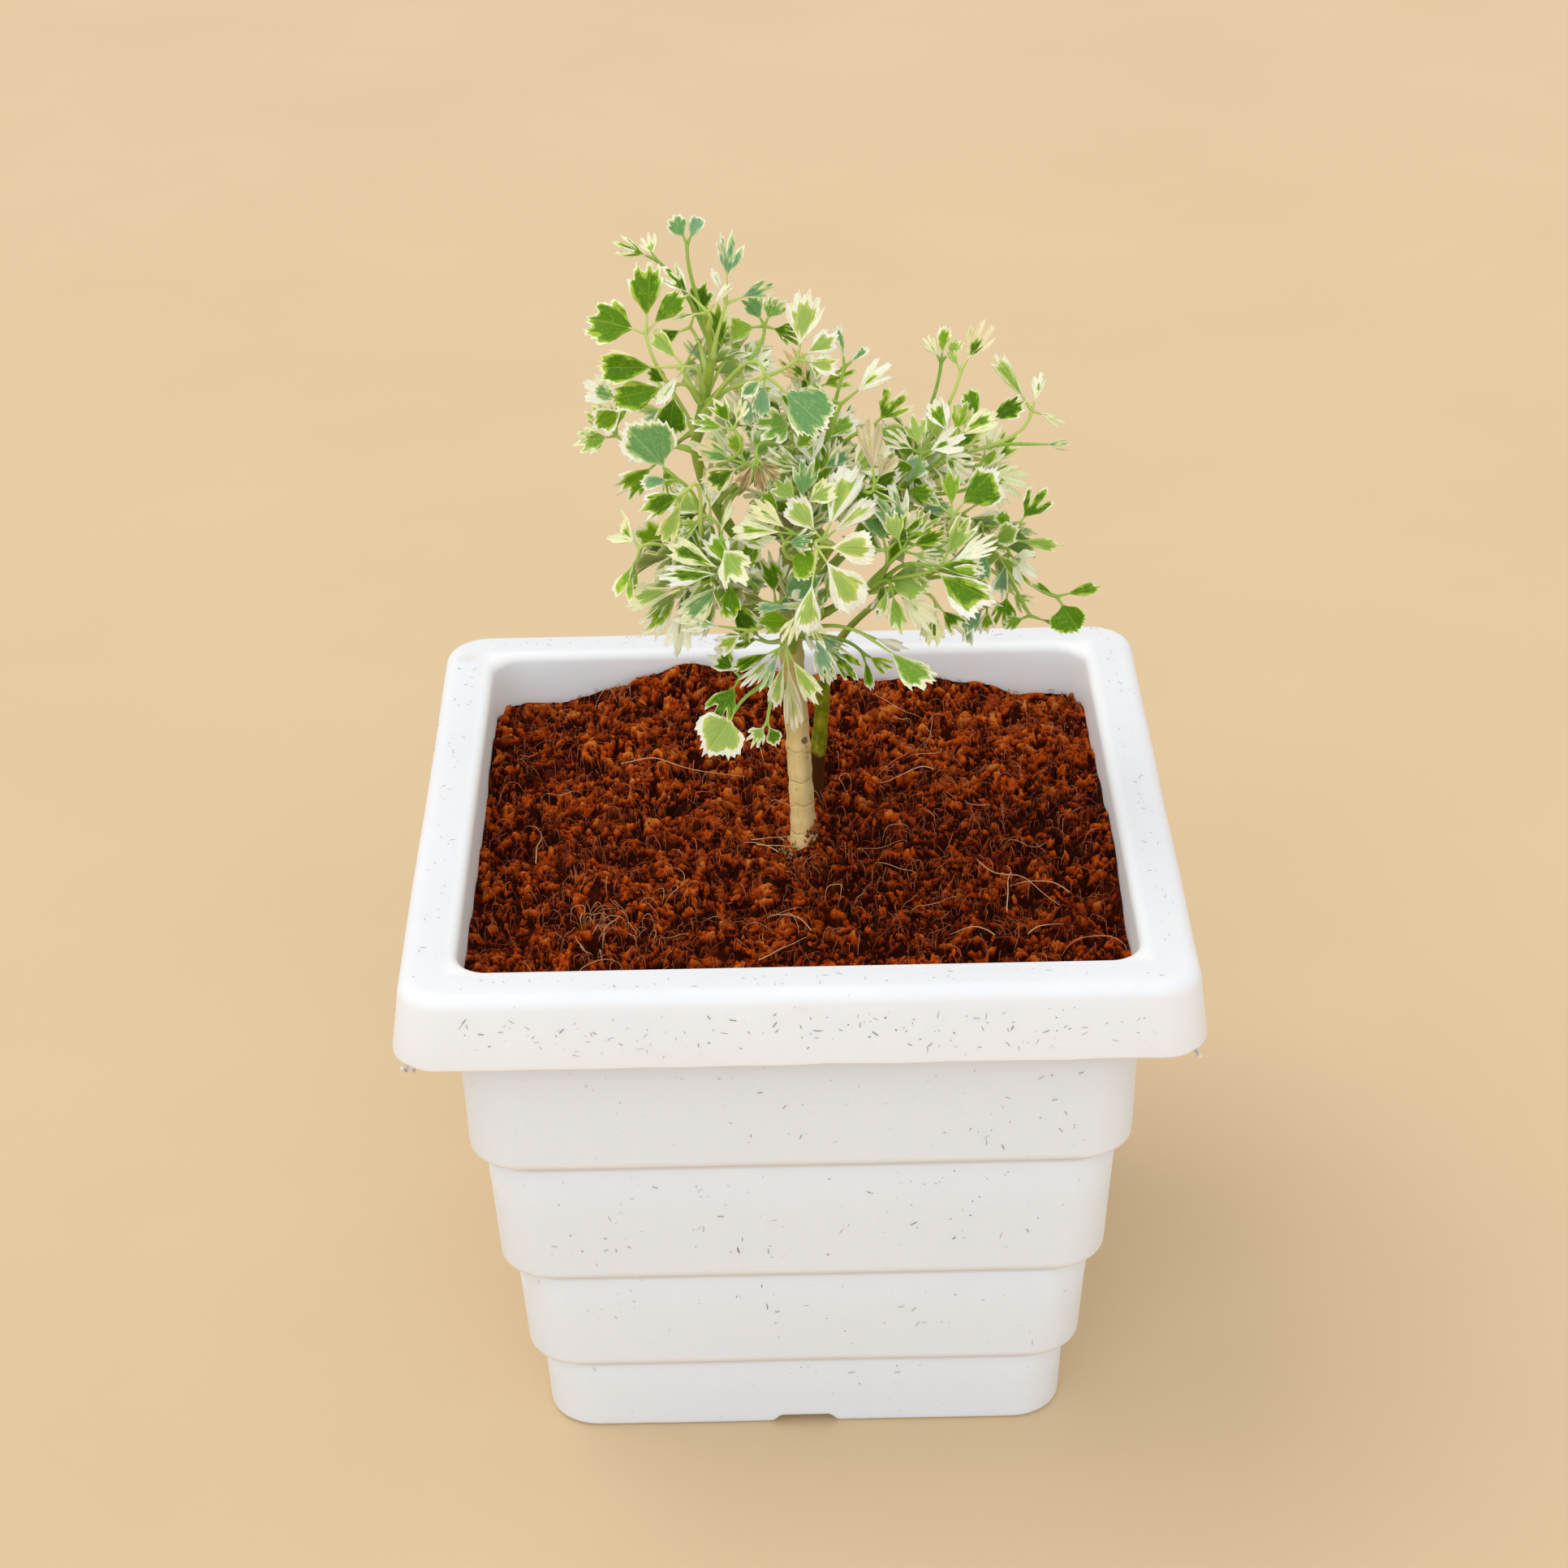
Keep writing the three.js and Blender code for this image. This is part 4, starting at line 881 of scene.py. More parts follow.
def lump_forms():
    """A round form of 20 faces, and one with each of them split in four, for crumbs."""
    golden = (1 + math.sqrt(5)) / 2
    corners = []
    for first in (-1, 1):
        for second in (-golden, golden):
            corners += [(0, first, second), (first, second, 0), (second, 0, first)]
    corners = [unit(np.array(corner, float)) for corner in corners]
    count = len(corners)
    edge = min(np.linalg.norm(corners[0] - other) for other in corners[1:]) * 1.05
    faces = []
    for a, b, c in combinations(range(count), 3):
        sides = corners[b] - corners[a], corners[c] - corners[a], corners[c] - corners[b]
        if max(np.linalg.norm(side) for side in sides) < edge:
            faces.append((a, b, c) if np.dot(np.cross(*sides[:2]), corners[a]) > 0 else (a, c, b))
    middles = {}
    finer = []
    for a, b, c in faces:
        pairs = [tuple(sorted(pair)) for pair in [(a, b), (b, c), (c, a)]]
        ab, bc, ca = (count + middles.setdefault(pair, len(middles)) for pair in pairs)
        finer += [(a, ab, ca), (ab, b, bc), (ca, bc, c), (ab, bc, ca)]
    between = [unit(corners[first] + corners[second]) for first, second in middles]
    return (np.array(corners), faces), (np.array(corners + between), finer)


def soil_spot(random, inset=1.5):
    limit = SOIL_EDGE - inset
    while True:
        x = (2 * random() - 1) * limit
        y = (2 * random() - 1) * limit
        corner = math.hypot(max(abs(x) - limit + 5, 0), max(abs(y) - limit + 5, 0))
        if corner < 5:
            return x, y


def crumb_piece():
    random = Seeded(911)
    coarse, fine = lump_forms()
    shape = Shape()
    spots = [(*soil_spot(random), 0.0, 0.0, LEAST_LUMP) for _ in range(LUMPS)]
    for _ in range(STEM_LUMPS):
        angle = 2 * math.pi * random()
        away = STEM_REACH + 0.1 + 2.6 * random()
        crust = 1.0 if math.cos(angle) < -0.2 and random() < 0.7 else 0.0
        rise = 0.35 + 0.8 * random()
        spots.append((STEM_FOOT + away * math.cos(angle), away * math.sin(angle), rise, crust, LEAST_LUMP))
    for _ in range(STEM_SPECKS):
        angle = math.radians(-78 + 55 * random())
        rise = 1.6 + 2.6 * random()
        x, y = STEM_FOOT + STEM_REACH * math.cos(angle), STEM_REACH * math.sin(angle)
        spots.append((x, y, rise, SPECK_TAN, LEAST_SPECK))
    for x, y, rise, tan, least in spots:
        size = least + 0.52 * random() ** 3.2
        form, faces = fine if size > LARGE_LUMP else coarse
        stretch = np.array([0.5 + 1.4 * random(), 0.5 + 0.7 * random(), 0.35 + 0.4 * random()])
        seed = Vector((random() * 50, random() * 50, random() * 50))
        wobble = np.array([1 + 1.4 * noise.noise(Vector(corner) * 1.9 + seed) for corner in form])
        turn = Euler([2 * math.pi * random() for _ in range(3)]).to_matrix()
        lump = (form * wobble[:, None] * stretch * size) @ np.array(turn)
        level = float(soil_height(x, y)) + crumble(x, y)[0] + 0.05 * size + rise
        # Each crumb's shade is lowered by the painted shadow and damp spots.
        shade = random() - with_mounds(0, x, y, SHADOW_AND_DAMP_SPOTS)
        ones = np.ones(len(form))
        # Each crumb's top is painted lighter than its foot: painted light.
        crumb = np.column_stack([0.05 + 0.4 * lump[:, 2] / size, shade * ones, tan * ones])
        shape.add(lump + (x, y, level), faces, crumb=crumb)
    new_piece("coir_crumbs", shape, coir_material("coir_crumb", 0.09), 35.0)


def curly_line(random, x, y, length, steps, curl, lift):
    """A fibre that lies on the coir, turning as it goes."""
    heading = 2 * math.pi * random()
    turning = curl * (random() - 0.5)
    points = []
    phase = 2 * math.pi * random()
    for step in range(steps + 1):
        share = step / steps
        level = float(soil_height(x, y)) + 0.75 + lift * math.sin(math.pi * share)
        level += 0.25 * math.sin(phase + 9 * share) - 1.8 * (2 * share - 1) ** 6
        points.append((x, y, level))
        turning += curl * 0.5 * (random() - 0.5)
        turning *= 0.96
        heading += turning
        x += math.cos(heading) * length / steps
        y += math.sin(heading) * length / steps
        limit = SOIL_EDGE - 1
        if max(abs(x), abs(y)) > limit:
            heading += math.pi / 2
            x = min(max(x, -limit), limit)
            y = min(max(y, -limit), limit)
    return np.array(points)


def fibre_pieces():
    random = Seeded(417)
    short = Shape()
    for _ in range(FIBRES):
        x, y = soil_spot(random)
        length = 1.2 + 5 * random() ** 2.2
        line = curly_line(random, x, y, length, FIBRE_STEPS, 0.6, 0.7 * random())
        radius = 0.04 + 0.06 * random()
        add_tube(short, line, radius * np.array([0.5, 1, 1, 1, 0.8, 0.4]), 3, crumb=(random() ** 1.8, 0, 0))
    long = Shape()
    for index in range(CURLS):
        x, y = soil_spot(random, 6)
        length = 5 + 11 * random() ** 2
        if index % 3 == 0:
            x, y = (centre + STRAW_PATCH_WIDTH * (random() - 0.5) for centre in STRAW_PATCH)
            length = 2.5 + 4 * random()
        line = curly_line(random, x, y, length, CURL_STEPS, 0.32, 0.3 + 1.3 * random())
        radius = 0.05 + 0.05 * random()
        taper = 0.4 + 0.6 * np.sin(np.linspace(0.15, 2.9, CURL_STEPS + 1))
        add_tube(long, line, radius * taper, 4, crumb=(0.7 * random(), 0, 0))
    for x, y, heading, length, bow, lift in STRANDS:
        share = np.linspace(0, 1, STRAND_STEPS + 1)
        course = heading + bow * np.sin(2.4 * share + 0.4) + 0.12 * np.sin(11 * share + x)
        ahead = np.column_stack([np.cos(course), np.sin(course)]) * length / STRAND_STEPS
        flat = np.array([x, y]) + np.cumsum(ahead, axis=0)
        level = soil_height(flat[:, 0], flat[:, 1]) + 0.9 + lift * np.sin(math.pi * share)
        add_tube(long, np.column_stack([flat, level]), 0.13 * (1 - 0.6 * share), 5, crumb=(0.95, 0, 0))
    red = fibre_material("red_fibre", (0.16, 0.018, 0.002), (0.60, 0.15, 0.03))
    tan = fibre_material("tan_fibre", (0.40, 0.12, 0.03), (0.74, 0.44, 0.22))
    new_piece("coir_fibres", short, red, 80.0)
    new_piece("coir_strands", long, tan, 80.0)


# Stems.
STEM_DEPTH = 62
TRUNK_ROUTE = [(3, 1, STEM_DEPTH), (2.4, 0, 90), (2, 0, 107), (1, 0, 132), (0, 0, 152), (0, 1, 172)]
TRUNK_RADII = [2.7, 2.6, 2.5, 2.35, 2.3, 1.9]
SECOND_STEM_ROUTE = [
    (4, 20, STEM_DEPTH), (5, 19, 108), (6, 15.5, 127), (8, 12, 143),
    (16, 9, 155), (28, 6, 164), (41, 3, 172),
]
SECOND_STEM_RADII = [1.6, 1.5, 1.5, 1.5, 1.4, 1.2, 0.9]
STEM_RINGS = 130
STEM_SIDES = 28
KNOTS = [  # level, and how much the stem swells there
    (112, 0.1), (118.5, 0.05), (124, 0.06), (129, 0.12), (135, 0.06), (141, 0.1), (149, 0.12),
]
KNOT_REACH = 1.1
FOOT_SWELL = 0.45
FOOT_SWELL_LEVEL = 107
FOOT_SWELL_REACH = 3.0
BARK_ROUGHNESS = 0.12
SCAR = (2.4, -1.9, 131.2)
BROWN_FOOT_TOP = 118.5  # the second stem is brown below this


def stem_radii(radii, count):
    return np.interp(np.linspace(0, 1, count), np.linspace(0, 1, len(radii)), radii)


def trunk_piece():
    line = Route(TRUNK_ROUTE).even(STEM_RINGS)
    radii = stem_radii(TRUNK_RADII, STEM_RINGS)
    height = line[:, 2]
    for level, swell in KNOTS:
        radii = radii * (1 + bulge(height, level, KNOT_REACH, swell))
    radii = radii * (1 + 0.02 * np.sin(height * 1.9) + 0.014 * np.sin(height * 0.7 + 1))
    radii = radii + bulge(height, FOOT_SWELL_LEVEL, FOOT_SWELL_REACH, FOOT_SWELL)
    shape = Shape()
    add_tube(shape, line, radii, STEM_SIDES)
    for point in shape.vertices[0]:
        point[:2] += BARK_ROUGHNESS * np.array(noise.noise_vector(Vector(point) / 2.4))[:2]
    piece = new_piece("woody_stem", shape, bark_material(), 50.0)
    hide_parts("trunk")


# Leaves, with the layout of the part's solids.
BLADE_THICKNESS = 0.26
STALK_RADIUS = 0.47
STALK_END_RADIUS = 0.31
STALK_FOOT_SWELL = 0.5
STALK_END_SWELL = 0.25
STALK_SIDES = 7
STALKLET_RADII = (0.4, 0.16)
STALKLET_RINGS = 6
STALKLET_SIDES = 6
STALKLET_SHARE = 0.22
NOD = 0.4
TURN = 0.3
FOLD = (-0.1, 0.3)
DROOP = 0.22
WAVE_HEIGHT = 0.5
SHOULDER = 0.62
TOOTH_PEAK = 0.68  # a tooth's point, as a share of its foot
FINGERED_SHARE = 0.5  # how many of the broad blades are cut deep
DRY_SHARE = 0.025
LOOKS = {  # from and to: the green's kind, the cream's width, the cream's kind and the dryness
    "deep": ((0.08, 0.018, 0.3, 0), (0.28, 0.035, 0.8, 0)),
    "pale": ((0.54, 0.08, 0.7, 0), (0.66, 0.14, 0.9, 0.1)),
    "bluish": ((0.84, 0.02, 0.5, 0), (0.98, 0.08, 0.8, 0)),
    "brown": ((0.2, 0.05, 0.9, 0.85), (0.4, 0.1, 1, 0.95)),
    "tan": ((0.5, 0.2, 0.93, 0.3), (0.7, 0.26, 0.98, 0.6)),
}
LEAST_SPREAD = 0.07
WIDEST_ROOM = 1.4
OVERLAP = 0.35
VIEW_TILT = math.radians(30)
FRONT = -90
BLADE_RINGS = 7
FILLER_RINGS = 5
STALK_RINGS = 13
RULED_SPRAY = dict(spreads=(-72, 0, 72), lengths=(9, 13), forms=(0.45, 0.75))
FILLER_SPRAY = dict(spreads=(-68, -8, 58), lengths=(7.5, 12), forms=(0.4, 0.76))
FILLERS_PER_LEAF = 2
CLEAR_OF_NAMED = 7.5  # fillers keep this far from the hub of a leaf with a named look
CROWN = [  # the places and reaches of the dense parts: x, y, z of each
    ((2, 0, 178), (29, 22, 21)),
    ((-13, 2, 200), (13, 12, 13)),
    ((28, 4, 178), (18, 14, 16)),
    ((-18, 2, 187), (12, 12, 13)),
]
SHOOT_RINGS = 60
SHOOT_SIDES = 14
SHOOT_KNOTS = np.arange(0.12, 1, 0.17)  # shares of the stem's length
SHOOT_KNOT_SWELL = 0.14
SHOOT_KNOT_REACH = 0.018
SHOOT_RIPPLE = 0.06
SHOOT_SLIMNESS = 0.8
SHOOT_KIND = 0.4
SHOOT_AGE = 0.35
SECOND_STEM_YOUNG = 0.2  # its age at the top,
SECOND_STEM_AGING = (158, 142)  # and the levels between which it grows old
SECOND_STEM_THINNING = (0.52, 0.75)  # the shares of its length between which it gets thin
SECOND_STEM_THINNED = 0.5


def leaf_axes(facing):
    angle = math.radians(facing)
    level = math.cos(VIEW_TILT)
    to_viewer = np.array([math.cos(angle) * level, math.sin(angle) * level, math.sin(VIEW_TILT)])
    right = np.array([-math.sin(angle), math.cos(angle), 0.0])
    return to_viewer, right, np.cross(to_viewer, right)


def clock_direction(axes, clock):
    _, right, up = axes
    angle = math.radians(clock)
    return right * math.cos(angle) + up * math.sin(angle)


def clock_of(axes, vector):
    _, right, up = axes
    return math.degrees(math.atan2(vector.dot(up), vector.dot(right)))


def turned(vector, axis, angle):
    """vector turned about a unit axis."""
    return (
        vector * math.cos(angle)
        + np.cross(axis, vector) * math.sin(angle)
        + axis * axis.dot(vector) * (1 - math.cos(angle))
    )


def posed_leaflets(axes, leaflets, random):
    to_viewer = axes[0]
    posed = []
    for index, (clock, length, width, *rest) in enumerate(leaflets):
        nod = (-NOD if index % 2 else NOD) * random()
        turn = 2 * TURN * (random() - 0.5)
        fold = lerp(*FOLD, random())
        droop = DROOP * random()
        wave = 2 * math.pi * random()
        flat = clock_direction(axes, clock)
        along = flat * math.cos(nod) + to_viewer * math.sin(nod)
        face = turned(to_viewer * math.cos(nod) - flat * math.sin(nod), along, turn)
        posed.append({
            "clock": clock, "length": length, "width": width,
            "stalklet": rest[0] if rest else STALKLET_SHARE * length,
            "along": along, "across": np.cross(face, along), "face": face,
            "fold": fold, "droop": droop, "wave": wave,
        })
    return posed


def side_spread(leaflet, spread, room):
    if room > WIDEST_ROOM:
        return spread
    clear = leaflet["stalklet"] * math.sin(room) + OVERLAP * math.cos(room)
    reach = (leaflet["length"] - leaflet["stalklet"]) * (1 if clear > 0 else SHOULDER)
    limit = room + math.asin(min(max(clear / reach, -1), 1))
    return min(max(limit, LEAST_SPREAD), spread)


def blade_reach(share, lobes, depth, sharpness):
    """A blade's reach from its foot towards one direction, where share runs from -1 to 1 over its spread."""
    round_off = 0.5 + 0.5 * (1 - abs(share) ** 2.4) ** 0.7
    notch = (0.5 + 0.5 * np.cos(math.pi * lobes * (share + 1))) ** sharpness
    return round_off * (1 - depth * notch * smoothstep(1, 0.8, abs(share)))


def margin_teeth(share, teeth, detail):
    """Small uneven points, each leaning towards one side, from 0 to about 1.5."""
    place = (share + 1) / 2 * teeth
    sizes = np.array([0.3 + 1.2 * detail() ** 1.3 for _ in range(teeth + 1)])
    part = place % 1
    height = np.where(part < TOOTH_PEAK, part / TOOTH_PEAK, (1 - part) / (1 - TOOTH_PEAK))
    return height ** 1.5 * sizes[np.minimum(place.astype(int), teeth)]


def blade_margin(leaflet, detail, rings):
    """The directions across a blade as shares of its spread, and the reach of its toothed margin there."""
    blade, width, named = leaflet["length"] - leaflet["stalklet"], leaflet["width"], leaflet["named"]
    form = width / blade
    teeth = int(np.clip(round((4 + 1.2 * width) * (1 if rings == BLADE_RINGS else 0.8)), 6, 16))
    parts = np.array([0, TOOTH_PEAK / 2, TOOTH_PEAK])
    share = np.append((np.arange(teeth)[:, None] + parts).ravel(), teeth) / teeth * 2 - 1
    fingered = detail() < FINGERED_SHARE and form > 0.42 and not named
    lobes = 3 if form < 0.6 else (3, 4, 5)[int(2.99 * detail())]
    least, most = (0.32, 0.6) if fingered else (0.03, 0.17) if named else (0.06, 0.3)
    depth = lerp(least, most, detail()) * (1 if fingered else min(1, form / 0.6))
    smooth_reach = blade * blade_reach(share, lobes, depth, 2.4 if fingered else 1.3)
    toothed = margin_teeth(share, teeth, detail) * (1 - 0.8 * abs(share) ** 3)
    return share, smooth_reach + min(0.75, 0.085 * blade) * (1.3 * toothed - 0.35)


def plate_faces(rings, points):
    """The faces of a closed plate: an upper and a lower grid of points, and the edge between them."""
    count = rings * points
    corners = np.arange(count).reshape(rings, points)
    a, b = corners[:-1, :-1].ravel(), corners[:-1, 1:].ravel()
    c, d = corners[1:, 1:].ravel(), corners[1:, :-1].ravel()
    edge = np.concatenate([corners[0], corners[1:, -1], corners[-1, -2::-1], corners[-2:0:-1, 0]])
    after = np.roll(edge, -1)
    return [
        *zip(a, d, c, b),
        *zip(a + count, b + count, c + count, d + count),
        *zip(edge, after, after + count, edge + count),
    ]


def add_blade(shape, centre, leaflet, rooms, detail, rings):
    """One toothed blade as a closed thin plate. detail draws what the solid doesn't have."""
    length, width, stalklet = leaflet["length"], leaflet["width"], leaflet["stalklet"]
    blade = length - stalklet
    spread = math.asin(min(0.8 * width / blade, 0.95))
    left, right = (side_spread(leaflet, spread, room) for room in rooms)
    share, reach = blade_margin(leaflet, detail, rings)
    waist = 0.5 + 0.4 * detail()
    u, s = np.meshgrid(np.linspace(0, 1, rings) ** 0.85, share, indexing="ij")
    side_spreads = np.where(s < 0, left, right)
    angle = s * side_spreads * (waist + (1 - waist) * u ** 0.8)
    distance = np.maximum(reach * u, 0.02)
    ahead = stalklet + distance * np.cos(angle)
    side = distance * np.sin(angle)

    along = ahead / length
    bend = leaflet["fold"] * np.sqrt(side ** 2 + 0.16) - leaflet["droop"] * length * along ** 2
    bend = bend + WAVE_HEIGHT * along * np.sin(5 * side / width + leaflet["wave"])
    bend = bend + 0.03 * blade * u ** 2.5 * np.sin(s * (5 + 5 * detail()) + 6 * detail())
    bend = bend + 0.4 * blade * (detail() - 0.35) * (2 * abs(side) / width) ** 2
    bend = bend + 0.4 * blade * (detail() - 0.5) * (u - 0.3) ** 2
    middle = (
        centre
        + ahead[..., None] * leaflet["along"]
        + side[..., None] * leaflet["across"]
        + bend[..., None] * leaflet["face"]
    )
    half = BLADE_THICKNESS / 2 * (1 - 0.55 * u[..., None] ** 2)
    upper = (middle + leaflet["face"] * half).reshape(-1, 3)
    lower = (middle - leaflet["face"] * half).reshape(-1, 3)

    flat = np.stack([ahead, side], -1)
    rim_gap = np.linalg.norm(flat[:, :, None] - flat[-1], axis=-1).min(axis=-1)
    side_gap = distance * np.sin(np.maximum(side_spreads - abs(angle), 0))
    margin = np.minimum(rim_gap, 1.3 * side_gap + 0.03 * blade) / blade
    leaf = np.stack([s, u, margin], -1).reshape(-1, 3)
    kind, cream, shade, dry = leaflet["look"]
    shape.add(
        np.concatenate([upper, lower]),
        plate_faces(rings, len(share)),
        leaf=np.concatenate([leaf, leaf]),
        tone=np.repeat([[kind, cream, 0.0], [kind, cream, 1.0]], len(leaf), axis=0),
        wear=(shade, dry, 61 * detail()),
    )


def leaf_look(name, detail):
    """The green's kind, the cream's width, the cream's kind and the dryness of one leaflet."""
    kind, width, shade, turned_dry = shares = [detail() for _ in range(4)]
    if name in LOOKS:
        return [lerp(start, end, share) for start, end, share in zip(*LOOKS[name], shares)]
    cream = np.interp(width, [0, 0.3, 0.7, 1], [0.02, 0.045, 0.09, 0.2])
    return [kind, cream, shade, lerp(0.3, 0.8, shade) if turned_dry < DRY_SHARE else 0]


def add_leaf(blades, stems, route, frond, random, detail, rings):
    hub, leaflets = np.array(frond["hub"], float), frond["leaflets"]
    axes = leaf_axes(frond.get("facing", FRONT))
    posed = posed_leaflets(axes, leaflets, random)
    for leaflet in posed:
        leaflet["look"] = leaf_look(frond.get("look"), detail)
        leaflet["named"] = frond.get("look") is not None
    arrival = unit(sum(clock_direction(axes, leaflet["clock"]) * leaflet["length"] for leaflet in posed))
    stalk_clock = clock_of(axes, -arrival)
    start = route.at(frond["at"])
    reach = np.linalg.norm(start - hub)
    leave = lerp(start, hub, 0.3) + np.array([0, 0, 0.12 * reach])
    line = bezier(start, leave, hub - arrival * 0.3 * reach, hub, STALK_RINGS)
    along = np.linspace(0, 1, STALK_RINGS)
    radii = lerp(STALK_RADIUS, STALK_END_RADIUS, along)
    radii = radii * (1 + bulge(along * reach, 2, 2.2, STALK_FOOT_SWELL))
    radii = radii * (1 + bulge((1 - along) * reach, 0, 0.8, STALK_END_SWELL))
    tone = (detail(), detail(), 0.0)
    add_tube(stems, line, radii, STALK_SIDES, tone=tone)

    spokes = sorted(posed, key=lambda leaflet: (leaflet["clock"] - stalk_clock) % 360)
    turns = [0, *(math.radians((leaflet["clock"] - stalk_clock) % 360) for leaflet in spokes), 2 * math.pi]
    for index, leaflet in enumerate(spokes):
        rooms = [(turns[index + 1] - turns[index]) / 2, (turns[index + 2] - turns[index + 1]) / 2]
        foot = np.linspace(0, 1, STALKLET_RINGS) * (leaflet["stalklet"] + 0.9)
        sag = leaflet["fold"] * 0.4 - leaflet["droop"] * leaflet["length"] * (foot / leaflet["length"]) ** 2
        points = hub + np.outer(foot, leaflet["along"]) + np.outer(sag - 0.12, leaflet["face"])
        add_tube(stems, points, np.linspace(*STALKLET_RADII, STALKLET_RINGS), STALKLET_SIDES, tone=tone)
        add_blade(blades, hub, leaflet, rooms, detail, rings)


def spray(heading, random, spreads, lengths, forms):
    """Leaflets that spread from a heading. forms are the least and the greatest share of width to length."""
    leaflets = []
    for spread in spreads:
        length = lerp(*lengths, random())
        leaflets.append((heading + spread, length, length * lerp(*forms, random())))
    return leaflets


def ruled_fronds(route, rule, random):
    """A spray of leaves by rule: they climb the shoot and spread over a sector, each looking outward."""
    fronds = []
    for index in range(rule["count"]):
        at = lerp(*rule["climb"], (index + 0.5) / rule["count"])
        share = (index * 0.618 + 0.25 * random()) % 1
        facing = lerp(*rule["sector"], share)
        lift = math.radians(rule["low"] + 65 * random())
        away = lerp(*rule["reach"], random())
        angle = math.radians(facing)
        start = route.at(at)
        level = away * math.cos(lift)
        hub = start + np.array([level * math.cos(angle), level * math.sin(angle), away * math.sin(lift)])
        heading = clock_of(leaf_axes(facing), hub - start) + 80 * (random() - 0.5)
        fronds.append(dict(at=at, hub=hub, facing=facing, leaflets=spray(heading, random, **RULED_SPRAY)))
    return fronds


